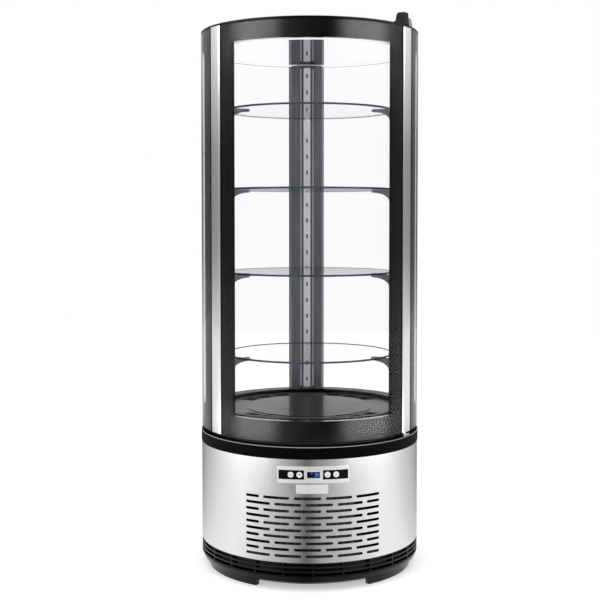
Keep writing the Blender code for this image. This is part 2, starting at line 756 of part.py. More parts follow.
def build_control_box():
    """Controller behind the fascia, clear of the buttons at the end of their travel."""
    inner = COLLAR_INNER + CONTROL_BOX_DEPTH
    lean = BUTTON_RADIUS * math.sin(math.pi / SEGMENTS)    # of a button's flat back against a facet
    outer = DRUM_RADIUS - BUTTON_DEPTH - BUTTON_TRAVEL - lean - GAP
    outline = sector(inner, outer, -CONTROL_BOX_HALF, CONTROL_BOX_HALF)
    half = CONTROL_BOX_HEIGHT / 2
    mesh = upright_mesh("control_box", [outline], BEZEL_MIDDLE - half, BEZEL_MIDDLE + half)
    box = add_piece("control_box", mesh, "dark_paint")
    seat = DRUM_RADIUS - FASCIA_THICKNESS - GAP
    low, high = (BEZEL_MIDDLE + DISPLAY_HEIGHT / 2 + level for level in LUG_LEVELS)
    lug = upright_mesh("control_box_lugs", [
        sector(inner, seat, angle - LUG_HALF, angle + LUG_HALF) for angle in (-LUG_ANGLE, LUG_ANGLE)
    ], low, high)
    join(box, add_cutter("control_box_lugs", lug))


# Cold tub, deck and frame

def build_tub():
    turned("insulated_base", [
        (0.0, Z_TUB_BOTTOM + TUB_FLOOR), (TUB_INNER, Z_TUB_BOTTOM + TUB_FLOOR), (TUB_INNER, Z_GLASS - GAP),
        (TUB_FLANGE, Z_GLASS - GAP), (TUB_FLANGE, Z_RECESS + GAP), (COLLAR_INNER - GAP, Z_RECESS + GAP),
        (COLLAR_INNER - GAP, Z_TUB_BOTTOM), (0.0, Z_TUB_BOTTOM),
    ], "foam_skin", on_axis=True)


def build_deck():
    rim = FRAME_INNER - GAP
    deck = turned("deck_plate", [
        (0.0, Z_DECK), (rim, Z_DECK), (rim, Z_GLASS), (rim - DECK_SHEET, Z_GLASS),
        (rim - DECK_SHEET, Z_DECK - DECK_SHEET), (0.0, Z_DECK - DECK_SHEET),
    ], "dark_paint", on_axis=True)
    inner = DECK_SLOT_RADIUS - DECK_SLOT_WIDTH / 2
    outer = DECK_SLOT_RADIUS + DECK_SLOT_WIDTH / 2
    slots = []
    for start, end in DECK_SLOTS:
        for facing in (0.0, 180.0):
            slots.append(sector(inner, outer, facing + start, facing + end))
            slots.append(sector(inner, outer, facing - end, facing - start))
    cut(deck, add_cutter("deck_slots", upright_mesh("deck_slots", slots, Z_DECK - 0.01, Z_DECK + 0.01)))
    glass = rod_mesh("deck_glass", DECK_GLASS_RADIUS, (0, 0, Z_DECK + GAP), (0, 0, Z_DECK_GLASS), SEGMENTS)
    add_piece("deck_glass", glass, "glass", smooth=True)


def rebate_cutter(name):
    """Space in the cabinet's frame that the closed door's edge lies in."""
    return ring_cutter(name, STOP_RADIUS, REACH, Z_GLASS - 0.1, Z_GLASS_TOP + 0.1, -FIXED_ANGLE, FIXED_ANGLE)


def build_frame():
    levels = {
        "lower_frame_ring": (Z_GLASS, Z_WINDOW - GAP),
        "upper_frame_ring": (Z_WINDOW_TOP + GAP, Z_GLASS_TOP - GAP),
    }
    for name, (low, high) in levels.items():
        ring = turned(name, ring_profile(FRAME_INNER, FRAME_OUTER, low, high), "black_plastic")
        cut(ring, rebate_cutter(name + "_rebate"))
    spans = {
        "front_post_left": (-POST_ANGLE, -STOP_ANGLE),
        "front_post_right": (STOP_ANGLE, POST_ANGLE),
    }
    for name, (start, end) in spans.items():
        profile = ring_profile(FRAME_INNER, FRAME_OUTER, Z_WINDOW, Z_WINDOW_TOP)
        post = turned(name, profile, "black_plastic")
        keep_sector(post, start, end)
        cut(post, rebate_cutter(name + "_rebate"))


def build_rear_post():
    back = arc(FRAME_OUTER, 180.0 - REAR_HALF, 180.0 + REAR_HALF)
    floor = REAR_FACE + CHANNEL_DEPTH
    half = [
        (REAR_SHOULDER, REAR_HALF), (REAR_FACE, REAR_FACE_HALF), (REAR_FACE, CHANNEL_OUTER),
        (floor, CHANNEL_OUTER), (floor, CHANNEL_INNER), (REAR_FACE, CHANNEL_INNER),
    ]
    front = [polar(r, 180.0 + a).to_2d() for r, a in half]
    front += [polar(r, 180.0 - a).to_2d() for r, a in reversed(half)]
    mesh = upright_mesh("rear_post", [back + front], Z_WINDOW, Z_WINDOW_TOP)
    add_piece("rear_post", mesh, "grey_frame")
    profile = ring_profile(GLASS_RADIUS - PANE, GLASS_RADIUS, Z_GLASS, Z_GLASS_TOP - GAP)
    cover = turned("rear_cover_strip", profile, "black_plastic")
    keep_sector(cover, 180.0 - REAR_HALF, 180.0 + REAR_HALF)


def build_led_strips():
    for name, side in (("led_strip_left", -1), ("led_strip_right", 1)):
        ends = sorted(180.0 + side * a for a in (CHANNEL_INNER + STRIP_INSET, CHANNEL_OUTER - STRIP_INSET))
        outline = sector(REAR_FACE + STRIP_DEPTH, REAR_FACE + CHANNEL_DEPTH - GAP, *ends)
        mesh = upright_mesh(name, [outline], Z_WINDOW + RAIL_END, Z_WINDOW_TOP - RAIL_END)
        add_piece(name, mesh, "led")


def shelf_levels():
    return [Z_DECK_GLASS + height for height in SHELF_HEIGHTS]


def arm_levels():
    return [top - SHELF_THICKNESS - GAP for top in shelf_levels()]


def arm_mesh(name, root_radius, angle, top):
    """Shelf bracket: a deep root that sweeps up in a hollow curve to a thin rounded tip."""
    nose = (ARM_REACH + ARM_NOSE, -ARM_TIP / 2)
    outline = [(-ARM_TAIL, 0.0), (ARM_REACH, 0.0), nose, (ARM_REACH, -ARM_TIP)]
    for i in range(1, 4):
        turn = math.radians(30 * i)
        hollow = ARM_ROOT - ARM_TIP
        outline.append((ARM_REACH - (ARM_REACH - ARM_HEEL) * math.sin(turn),
                        -ARM_TIP - hollow * (1 - math.cos(turn))))
    outline += [(ARM_HEEL / 2, -ARM_ROOT - ARM_TAIL), (-ARM_TAIL, -ARM_ROOT - ARM_TAIL)]
    mesh = flat_mesh(name, [outline], ARM_WIDTH)
    place = stand_at(angle, root_radius)
    upright = Matrix.Rotation(math.pi / 2, 4, "Z") @ Matrix.Rotation(math.pi / 2, 4, "X")
    mesh.transform(Matrix.Translation((0, 0, top)) @ place @ upright)
    return mesh


def build_bracket_rails():
    for name, side in (("shelf_rail_left", -1), ("shelf_rail_right", 1)):
        ends = sorted(side * (RAIL_ANGLE + part * RAIL_SPAN / 2) for part in (-1, 1))
        inner = FRAME_INNER - GAP - RAIL_DEPTH
        outline = sector(inner, FRAME_INNER - GAP, *ends)
        mesh = upright_mesh(name, [outline], Z_WINDOW + RAIL_END, Z_WINDOW_TOP - RAIL_END)
        rail = add_piece(name, mesh, "grey_frame")
        arms = [arm_mesh("arm", inner, side * RAIL_ANGLE, level) for level in arm_levels()]
        join(rail, add_cutter(name + "_arms", group_mesh(name + "_arms", arms)))


def build_pilaster():
    """Flat slotted bar seated on the rear post's face, with the rear brackets."""
    seat = polar(REAR_FACE, 180.0 - CHANNEL_INNER).y - GAP
    face = seat - PILASTER_DEPTH
    half = across(REAR_FACE, PILASTER_HALF)
    outline = box_outline(-half, half, face, seat)
    low = Z_WINDOW + RAIL_END
    high = Z_WINDOW_TOP - RAIL_END
    rail = add_piece("rear_pilaster", upright_mesh("rear_pilaster", [outline], low, high), "aluminium")
    arms = [arm_mesh("arm", face, 180.0, level) for level in arm_levels()]
    join(rail, add_cutter("rear_arms", group_mesh("rear_arms", arms)))
    width, height = PILASTER_SLOT
    slots = []
    level = low + PILASTER_PITCH / 2
    while level < high - PILASTER_PITCH / 4:
        clear = all(not top - 2 * ARM_ROOT < level < top + height for top in shelf_levels())
        if clear:
            slots.append(box_outline(-width / 2, width / 2, level - height / 2, level + height / 2))
        level += PILASTER_PITCH
    cut(rail, add_cutter("pilaster_slots", facing_mesh("pilaster_slots", slots, 0.2, REAR_FACE + 0.02)))


def build_shelves():
    for number, top in enumerate(shelf_levels(), start=1):
        name = "glass_shelf_%d" % number
        mesh = rod_mesh(name, SHELF_RADIUS, (0, 0, top - SHELF_THICKNESS), (0, 0, top), SEGMENTS)
        add_piece(name, mesh, "glass", smooth=True)


def build_side_glass():
    for side, name in ((-1, "left"), (1, "right")):
        outer = turned("side_glass_%s_outer" % name,
                       ring_profile(GLASS_RADIUS - PANE, GLASS_RADIUS, Z_GLASS, Z_GLASS_TOP - GAP), "glass")
        ends = sorted((side * FIXED_ANGLE, side * (180.0 - REAR_HALF - GAP_ANGLE)))
        keep_sector(outer, *ends)
        profile = ring_profile(INNER_PANE_RADIUS - PANE, INNER_PANE_RADIUS, Z_WINDOW, Z_WINDOW_TOP)
        inner = turned("side_glass_%s_inner" % name, profile, "glass")
        ends = sorted((side * (POST_ANGLE + GAP_ANGLE), side * (180.0 - REAR_HALF - GAP_ANGLE)))
        keep_sector(inner, *ends)


def build_roof():
    rim = FRAME_INNER - GAP
    low = Z_WINDOW_TOP + CEILING_DROP
    inset, rise = CEILING_CHAMFER
    turned("ceiling_panel", [
        (0.0, Z_GLASS_TOP - GAP), (rim, Z_GLASS_TOP - GAP),
        (rim, low + rise), (rim - inset, low), (0.0, low),
    ], "foam_skin", on_axis=True)
    r = GLASS_RADIUS
    inner, outer = COVER_RIM
    sunk = Z_COVER - COVER_EDGE
    cover = turned("top_cover", [
        (0.0, sunk), (r - inner, sunk), (r - outer, Z_COVER), (r - COVER_EDGE, Z_COVER), (r, sunk),
        (r, Z_GLASS_TOP), (0.0, Z_GLASS_TOP),
    ], "black_plastic", on_axis=True)
    hole = rod_mesh("cover_hole", PIN_RADIUS + PIN_CLEAR, polar(HINGE_RADIUS, HINGE_ANGLE, 0.0),
                    polar(HINGE_RADIUS, HINGE_ANGLE, Z_COVER + REACH))
    cut(cover, add_cutter("cover_hole", hole))


# Door and hinge

def build_door():
    pieces = [build_door_glass(), build_door_frame(), build_inner_pane(), build_gasket()]
    pieces += build_door_profiles()
    pivot = bpy.data.objects.new("door_pivot", None)
    pivot.location = polar(HINGE_RADIUS, HINGE_ANGLE, DOOR_BOTTOM)
    PARTS.objects.link(pivot)
    for piece in pieces:
        piece.parent = pivot
        piece.matrix_parent_inverse = Matrix.Translation(-pivot.location)


def build_door_glass():
    glass = turned("door_outer_glass",
                   ring_profile(GLASS_RADIUS - PANE, GLASS_RADIUS, DOOR_BOTTOM, DOOR_TOP), "glass")
    keep_sector(glass, -DOOR_GLASS_HALF, DOOR_GLASS_HALF)
    return glass


def build_door_frame():
    profile = ring_profile(DOOR_INNER, FRAME_OUTER, DOOR_BOTTOM, DOOR_TOP)
    frame = turned("door_frame", profile, "black_plastic")
    keep_sector(frame, -DOOR_GLASS_HALF, DOOR_GLASS_HALF)
    window = ring_cutter("door_window", STOP_RADIUS, REACH, Z_WINDOW, Z_WINDOW_TOP, -WINDOW_HALF, WINDOW_HALF)
    cut(frame, window)
    lap = WINDOW_HALF + REBATE_LAP
    rebate = ring_cutter("door_rebate", STOP_RADIUS, REBATE_RADIUS, Z_WINDOW - REBATE_HEIGHT,
                         Z_WINDOW_TOP + REBATE_HEIGHT, -lap, lap)
    cut(frame, rebate)
    return frame


def build_inner_pane():
    outer = REBATE_RADIUS - GAP
    lift = REBATE_HEIGHT - GAP
    profile = ring_profile(outer - PANE, outer, Z_WINDOW - lift, Z_WINDOW_TOP + lift)
    pane = turned("door_inner_glass", profile, "glass")
    lap = WINDOW_HALF + REBATE_LAP - GAP_ANGLE
    keep_sector(pane, -lap, lap)
    return pane


def build_gasket():
    inner = STOP_RADIUS + GAP
    outer = DOOR_INNER - GAP
    low = DOOR_BOTTOM + GASKET_EDGE
    high = DOOR_TOP - GASKET_EDGE
    half = DOOR_HALF - GASKET_INSET
    gasket = turned("door_gasket", ring_profile(inner, outer, low, high), "rubber")
    keep_sector(gasket, -half, half)
    opening = ring_cutter("gasket_opening", inner - 0.05, REACH, low + GASKET_HEIGHT, high - GASKET_HEIGHT,
                          -half + GASKET_SPAN, half - GASKET_SPAN)
    cut(gasket, opening)
    return gasket


def profile_outline(side):
    """Section of an edge profile: curved with the drum, its face slightly crowned."""
    start = DOOR_GLASS_HALF + math.degrees(GAP / DOOR_INNER)
    span = DOOR_HALF - start
    outer = []
    for part, crown in ((0.0, 0.0), (0.2, 0.8), (0.5, 1.0), (0.8, 0.8), (1.0, 0.0)):
        outer.append(polar(GLASS_RADIUS + crown * PROFILE_CROWN, side * (start + part * span)).to_2d())
    inner = arc(DOOR_INNER, *sorted((side * start, side * DOOR_HALF)))
    if side > 0:
        inner.reverse()
    return outer + inner


def build_door_profiles():
    handle = upright_mesh("door_handle_profile", [profile_outline(-1)], DOOR_BOTTOM, DOOR_TOP)
    pivot = polar(HINGE_RADIUS, HINGE_ANGLE)
    bore = []
    for i in range(16):
        turn = math.tau * i / 16
        bore.append((pivot.x + (PIN_RADIUS + PIN_CLEAR) * math.cos(turn),
                     pivot.y + (PIN_RADIUS + PIN_CLEAR) * math.sin(turn)))
    hinge = upright_mesh("door_hinge_profile", [profile_outline(1), bore], DOOR_BOTTOM, DOOR_TOP)
    return [
        add_piece("door_handle_profile", handle, "aluminium"),
        add_piece("door_hinge_profile", hinge, "aluminium"),
    ]


def build_hinges():
    place = stand_at(HINGE_ANGLE, HINGE_RADIUS)
    floor = Z_COVER + GAP
    size = (CAP_LENGTH, CAP_WIDTH, CAP_HEIGHT)
    cap = box_mesh("upper_hinge_cap", size, (*CAP_PLACE, floor + CAP_HEIGHT / 2))
    cap.transform(place)
    cap = add_piece("upper_hinge_cap", cap, "black_plastic")
    size = (FLANGE_LENGTH, FLANGE_WIDTH, FLANGE_HEIGHT)
    flange = box_mesh("hinge_flange", size, (*FLANGE_PLACE, floor + FLANGE_HEIGHT / 2))
    head = (0.0, 0.0, floor + CAP_HEIGHT / 2)
    pin = rod_mesh("upper_pin", PIN_RADIUS, (0.0, 0.0, DOOR_TOP - PIN_LENGTH), head)
    for mesh in (flange, pin):
        mesh.transform(place)
        join(cap, add_cutter(mesh.name, mesh))
    base = Z_RECESS + GAP
    plate = box_mesh("lower_hinge_bracket", (BRACKET_LENGTH, BRACKET_WIDTH, BRACKET_THICKNESS),
                     (0.0, 0.0, base + BRACKET_THICKNESS / 2))
    plate.transform(place)
    bracket = add_piece("lower_hinge_bracket", plate, "stainless")
    root = (0.0, 0.0, base + BRACKET_THICKNESS / 2)
    wide, narrow = BOSS_RADII
    boss = rod_mesh("lower_boss", wide, root, (0.0, 0.0, DOOR_BOTTOM - GAP), 16, narrow)
    pin = rod_mesh("lower_pin", PIN_RADIUS, root, (0.0, 0.0, DOOR_BOTTOM + PIN_LENGTH))
    for mesh in (boss, pin):
        mesh.transform(place)
        join(bracket, add_cutter(mesh.name, mesh))


# Machine compartment

def fin_outline(size, centre_y, fins):
    """Plan of a finned coil: a spine with thin plates standing out of both sides."""
    width, depth, _ = size
    pitch = width / fins
    spine = depth * 0.12
    front = []
    back = []
    for i in range(fins):
        left = -width / 2 + i * pitch + pitch * 0.35
        right = left + pitch * 0.3
        front += [(left, -spine), (left, -depth / 2), (right, -depth / 2), (right, -spine)]
        back += [(left, spine), (left, depth / 2), (right, depth / 2), (right, spine)]
    ends = [(-width / 2, -spine)] + front + [(width / 2, -spine), (width / 2, spine)]
    outline = ends + list(reversed(back)) + [(-width / 2, spine)]
    return [(x, y + centre_y) for x, y in outline]


def build_condenser():
    high = Z_MACHINE + CONDENSER_SIZE[2]
    outline = fin_outline(CONDENSER_SIZE, CONDENSER_Y, CONDENSER_FINS)
    add_piece("condenser", upright_mesh("condenser", [outline], Z_MACHINE, high), "aluminium")


def circle(x, y, radius, sides):
    return [(x + radius * math.cos(math.tau * i / sides), y + radius * math.sin(math.tau * i / sides))
            for i in range(sides)]


def fan_mesh(name, radius, hub, depth):
    """Axial fan about its own Y axis: a hub and twisted blades that overlap it."""
    meshes = []
    outline = [(x * radius, y * radius) for x, y in BLADE_OUTLINE]
    for i in range(FAN_BLADES):
        blade = flat_mesh(name, [outline], BLADE_THICKNESS)
        twist = Matrix.Rotation(math.radians(BLADE_TWIST), 4, "X")
        turn = Matrix.Rotation(math.tau * i / FAN_BLADES, 4, "Y")
        blade.transform(turn @ Matrix.Rotation(math.pi / 2, 4, "X") @ twist)
        meshes.append(blade)
    return rod_mesh(name, hub, (0, -depth / 2, 0), (0, depth / 2, 0), 16), meshes


def build_fan(name, radius, hub, depth, place, finish):
    core, meshes = fan_mesh(name, radius, hub, depth)
    fan = add_piece(name, core, finish)
    fan.location = place
    for i, mesh in enumerate(meshes):
        blade = add_cutter("%s_blade_%d" % (name, i), mesh)
        blade.location = place
        join(fan, blade)


def build_motor(name, radius, near, height, finish):
    """Fan motor, whose arm or stand is joined to it afterwards."""
    body = rod_mesh(name, radius, (0.0, near, height), (0.0, near + MOTOR_LENGTH, height), 16)
    return add_piece(name, body, finish, smooth=True)


def build_condenser_fan():
    width, depth, height = CONDENSER_SIZE
    middle = Z_MACHINE + height / 2
    near = CONDENSER_Y + depth / 2 + GAP
    far = near + SHROUD_THICKNESS
    outline = box_outline(-width / 2, width / 2, Z_MACHINE, Z_MACHINE + height)
    hole = circle(0.0, middle, FAN_RADIUS + FAN_CLEAR, 28)
    add_piece("fan_shroud", facing_mesh("fan_shroud", [outline, hole], near, far), "dark_paint")
    hub_depth = SHROUD_THICKNESS - 0.002
    place = (0.0, (near + far) / 2, middle)
    build_fan("condenser_fan", FAN_RADIUS, FAN_HUB, hub_depth, place, "black_plastic")
    motor = build_motor("condenser_fan_motor", MOTOR_RADIUS, far - 0.001 + GAP, middle, "dark_paint")
    arm = box_mesh("motor_arm", MOTOR_ARM, (0.0, far + GAP + MOTOR_ARM[1] / 2, middle))
    join(motor, add_cutter("motor_arm", arm))


def build_compressor():
    x, y = COMPRESSOR_PLACE
    floor = Z_MACHINE + MOUNT_HEIGHT + GAP
    profile = []
    for part, level in COMPRESSOR_PROFILE:
        profile.append((part * COMPRESSOR_RADIUS, floor + level * COMPRESSOR_HEIGHT))
    pot = turned("compressor", profile, "gloss_black", on_axis=True, steps=COMPRESSOR_STEPS)
    pot.location = (x, y, 0.0)
    middle = Z_MACHINE + MOUNT_HEIGHT - MOUNT_PLATE[2] / 2
    plate = box_mesh("compressor_mount", MOUNT_PLATE, (x, y, middle))
    mount = add_piece("compressor_mount", plate, "rubber")
    feet = []
    for right in (-1, 1):
        for back in (-1, 1):
            spot = (x + right * MOUNT_FEET[0], y + back * MOUNT_FEET[1])
            feet.append(rod_mesh("foot", MOUNT_FOOT, (*spot, Z_MACHINE), (*spot, middle), 10))
    join(mount, add_cutter("compressor_feet", group_mesh("compressor_feet", feet)))


def build_tray():
    width, depth, height = TRAY_SIZE
    x, y = TRAY_PLACE
    tray = add_piece("evaporation_tray", box_mesh(
        "evaporation_tray", TRAY_SIZE, (x, y, Z_MACHINE + height / 2)), "dark_paint")
    inside = (width - 2 * TRAY_WALL, depth - 2 * TRAY_WALL, height)
    cut(tray, add_cutter("tray_inside", box_mesh(
        "tray_inside", inside, (x, y, Z_MACHINE + height / 2 + TRAY_WALL))))


def build_drier():
    x, y = DRIER_PLACE
    profile = [(part * DRIER_RADIUS, Z_MACHINE + level) for part, level in DRIER_PROFILE]
    drier = turned("filter_drier", profile, "copper", on_axis=True, steps=12)
    drier.location = (x, y, 0.0)


def build_pipes():
    x, y = COMPRESSOR_PLACE
    top = Z_TUB_BOTTOM - GAP
    level = Z_MACHINE + MOUNT_HEIGHT + PIPE_LEVEL * COMPRESSOR_HEIGHT
    side = COMPRESSOR_RADIUS + 2 * GAP
    far = x + COMPRESSOR_RADIUS + 2 * PIPE_BEND
    corners = [(x + side, y, level), (far, y, level), (far, y, top)]
    pipe("suction_line", bend_points(corners, PIPE_BEND), "copper")
    edge = -CONDENSER_SIZE[0] / 2 - 2 * GAP
    past = edge - 1.2 * PIPE_BEND
    pipe("discharge_line", bend_points([
        (x - side, y, level), (past, y, level), (past, CONDENSER_Y, level), (edge, CONDENSER_Y, level),
    ], 0.8 * PIPE_BEND), "copper")
    dx, dy = DRIER_PLACE
    start = Z_MACHINE + DRIER_PROFILE[0][1] + GAP
    run = [Vector((dx, dy, level)) for level in (start, (start + top) / 2, top)]
    pipe("liquid_line", run, "copper")


def build_power_inlet():
    width, height, depth = INLET_SIZE
    body = box_mesh("power_inlet", (width, depth, height), (0.0, depth / 2 - GAP, Z_BODY + INLET_HEIGHT))
    place = stand_at(INLET_ANGLE, DRUM_RADIUS)
    body.transform(place)
    inlet = add_piece("power_inlet", body, "black_plastic")
    hollow = (width * INLET_SOCKET, 2 * INLET_SOCKET_DEPTH, height * INLET_SOCKET)
    socket = box_mesh("socket", hollow, (0.0, 0.0, Z_BODY + INLET_HEIGHT))
    socket.transform(place)
    cut(inlet, add_cutter("socket", socket))


def build_evaporator():
    width, depth, height = EVAPORATOR_SIZE
    floor = Z_TUB_BOTTOM + TUB_FLOOR + GAP
    outline = fin_outline(EVAPORATOR_SIZE, EVAPORATOR_Y, EVAPORATOR_FINS)
    add_piece("evaporator", upright_mesh("evaporator", [outline], floor, floor + height), "aluminium")
    near = EVAPORATOR_Y - depth / 2 - COLD_FAN_SPACE
    middle = floor + height / 2
    build_fan("evaporator_fan", COLD_FAN_RADIUS, COLD_FAN_HUB, COLD_FAN_DEPTH, (0.0, near + 0.010, middle),
              "black_plastic")
    motor = build_motor("evaporator_fan_motor", COLD_MOTOR_RADIUS, near + 0.016 + GAP, middle, "dark_paint")
    stand = box_mesh("motor_stand", (*COLD_STAND, middle - floor), (0.0, near + 0.032, (middle + floor) / 2))
    join(motor, add_cutter("motor_stand", stand))


def build_case():
    build_plinth()
    build_base_pan()
    build_body_panel()
    build_rear_grille()
    build_collar()
    build_bezel()
    build_control_panel()
    build_display()
    build_buttons()
    build_control_box()
    build_tub()
    build_deck()
    build_frame()
    build_rear_post()
    build_led_strips()
    build_bracket_rails()
    build_pilaster()
    build_shelves()
    build_side_glass()
    build_roof()
    build_door()
    build_hinges()
    build_condenser()
    build_condenser_fan()
    build_compressor()
    build_tray()
    build_drier()
    build_pipes()
    build_power_inlet()
    build_evaporator()


build_case()
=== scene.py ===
import json
import math

import bmesh
import bpy
import numpy as np
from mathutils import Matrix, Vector


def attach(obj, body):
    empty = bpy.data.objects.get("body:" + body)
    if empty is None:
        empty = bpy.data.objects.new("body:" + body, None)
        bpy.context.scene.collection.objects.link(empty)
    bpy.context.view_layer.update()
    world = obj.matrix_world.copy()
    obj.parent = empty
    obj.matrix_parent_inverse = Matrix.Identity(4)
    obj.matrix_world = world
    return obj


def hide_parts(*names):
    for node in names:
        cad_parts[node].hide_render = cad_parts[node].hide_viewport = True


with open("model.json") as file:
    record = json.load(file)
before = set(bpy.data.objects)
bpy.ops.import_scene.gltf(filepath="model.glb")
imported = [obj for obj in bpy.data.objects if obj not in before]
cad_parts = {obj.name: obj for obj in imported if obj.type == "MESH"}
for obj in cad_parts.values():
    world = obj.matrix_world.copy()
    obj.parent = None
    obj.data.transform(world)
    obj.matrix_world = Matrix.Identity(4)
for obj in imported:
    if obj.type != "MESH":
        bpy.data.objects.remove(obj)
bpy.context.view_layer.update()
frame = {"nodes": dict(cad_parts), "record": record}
print("frame loaded:", len(frame["nodes"]), "nodes")


# the camera of the photograph: metres from the drum's axis, degrees, millimetres
cameraSettings = {"distance": 3.567, "height": 1.0875, "turn": -1.9, "tilt": 2.65,
                  "lens": 67.86, "shiftX": -0.016, "shiftY": -0.052}


def makeCamera(settings):
    # stands on a circle round the drum's axis and looks at it, a little downwards
    data = bpy.data.cameras.new("camera")
    data.lens = settings["lens"]
    data.shift_x = settings["shiftX"]
    data.shift_y = settings["shiftY"]
    camera = bpy.data.objects.new("camera", data)
    bpy.context.scene.collection.objects.link(camera)
    turn = math.radians(settings["turn"])
    camera.location = (settings["distance"] * math.sin(turn), -settings["distance"] * math.cos(turn),
                       settings["height"])
    camera.rotation_euler = (math.radians(90 - settings["tilt"]), 0, turn)
    bpy.context.scene.camera = camera


makeCamera(cameraSettings)
bpy.context.scene.view_settings.view_transform = "Standard"


class Pin:  # one socket of a finish; sums on it add Math nodes
    def __init__(self, board, socket):
        self.board, self.socket = board, socket

    def sum(self, operation, first, second):
        return self.board.add("Math", {"operation": operation}, {0: first, 1: second})

    def orMore(self, other):
        return self.sum("MAXIMUM", self, other)

    def __add__(self, other):
        return self.sum("ADD", self, other)

    def __rsub__(self, other):
        return self.sum("SUBTRACT", other, self)

    def __mul__(self, other):
        return self.sum("MULTIPLY", self, other)


class Board:  # the node tree of one finish or of the world
    def __init__(self, tree):
        self.tree = tree

    def add(self, kind, settings=None, values=None, output=0):
        # one node with its settings and what feeds its inputs; gives back one of its outputs
        node = self.tree.nodes.new("ShaderNode" + kind)
        for name, value in (settings or {}).items():
            if name == "stops":
                while len(node.color_ramp.elements) < len(value):
                    node.color_ramp.elements.new(0.5)
                for element, (place, shade) in zip(node.color_ramp.elements, value):
                    element.position = place
                    element.color = (*shade, 1)
            else:
                setattr(node, name, value)
        for name, value in (values or {}).items():
            self.feed(node.inputs[name], value)
        return Pin(self, node.outputs[output])

    def feed(self, socket, value):
        if isinstance(value, Pin):
            self.tree.links.new(value.socket, socket)
        elif socket.type == "RGBA":  # one number stands for a grey
            socket.default_value = (value,) * 3 + (1,) if isinstance(value, float) else (*value, 1)
        else:
            socket.default_value = value

    def spot(self, axis):
        # one of the object coordinates
        parts = self.add("SeparateXYZ", None, {"Vector": self.add("TexCoord", output=3)})
        return Pin(self, parts.socket.node.outputs[axis])

    def away(self, axis):
        # the distance from the middle along one axis
        return self.add("Math", {"operation": "ABSOLUTE"}, {0: self.spot(axis)})

    def noise(self, scale, detail=2.0, rough=0.5, stretch=(1, 1, 1)):
        # noise over the object coordinates, which are first stretched along each axis
        place = self.add("Mapping", None, {"Vector": self.add("TexCoord", output=3), "Scale": stretch})
        return self.add("TexNoise", None, {"Vector": place, "Scale": scale, "Detail": detail, "Roughness": rough})

    def span(self, pin, low, high, first=0.0, last=1.0):
        # carries pin from low..high to first..last and stops at both ends
        return self.add("MapRange", None, {0: pin, 1: low, 2: high, 3: first, 4: last})

    def blend(self, mask, first, second):
        # first where mask is 0, second where it is 1
        return self.add("Mix", {"data_type": "RGBA"}, {0: mask, 6: first, 7: second}, output=2)


finishes = {}


def makeFinish(name, settings, paint):
    # a principled surface: constant sockets from settings, and those that vary from paint(board)
    material = bpy.data.materials.new(name)
    material.use_nodes = True
    board = Board(material.node_tree)
    shader = material.node_tree.nodes["Principled BSDF"]
    for socket, value in settings.items():
        board.feed(shader.inputs[socket], value)
    for socket, pin in paint(board).items():
        if socket == "Bump":
            height, strength, depth = pin
            bump = board.add("Bump", None, {"Height": height, "Strength": strength, "Distance": depth})
            board.feed(shader.inputs["Normal"], bump)
        else:
            board.feed(shader.inputs[socket], pin)
    finishes[name] = material


def brushed(colour, darker, stretch, scale, rough, depth):
    # long fine streaks: noise squeezed across the brushing and drawn out along it
    def paint(board):
        streak = board.noise(scale, 3.0, 0.6, stretch)
        broad = board.noise(5.0, 2.0)
        mark = board.span(streak * 0.75 + broad * 0.25, 0.35, 0.65)
        return {"Base Color": board.blend(mark, darker, colour),
                "Roughness": board.span(streak, 0.3, 0.7, rough[0], rough[1]),
                "Bump": (streak, 0.12, depth)}
    return paint


def moulded(colour, second, rough, grain, depth):
    # plastic or powder coat: a fine grain in height and gloss over a slow drift of colour
    def paint(board):
        drift = board.noise(7.0, 3.0)
        speck = board.noise(grain, 2.0)
        return {"Base Color": board.blend(board.span(drift, 0.35, 0.65), colour, second),
                "Roughness": board.span(board.noise(18.0, 4.0), 0.3, 0.7, rough[0], rough[1]),
                "Bump": (speck, 0.25, depth)}
    return paint


def cleanGlass(tint, second):
    # clear glass whose tint drifts a little, with faint wiping marks in its gloss
    def paint(board):
        drift = board.noise(2.0, 1.0)
        return {"Base Color": board.blend(drift, tint, second),
                "Roughness": board.span(board.noise(6.0, 4.0, 0.6, (1, 1, 0.4)), 0.55, 0.8, 0.0, 0.03)}
    return paint


def glowing(low, high):
    # a glowing surface, a little uneven along its length: a lit diffuser, lit digits, and on the pilaster a
    # painted glow
    return lambda board: {"Emission Color": board.blend(board.noise(9.0), low, high)}


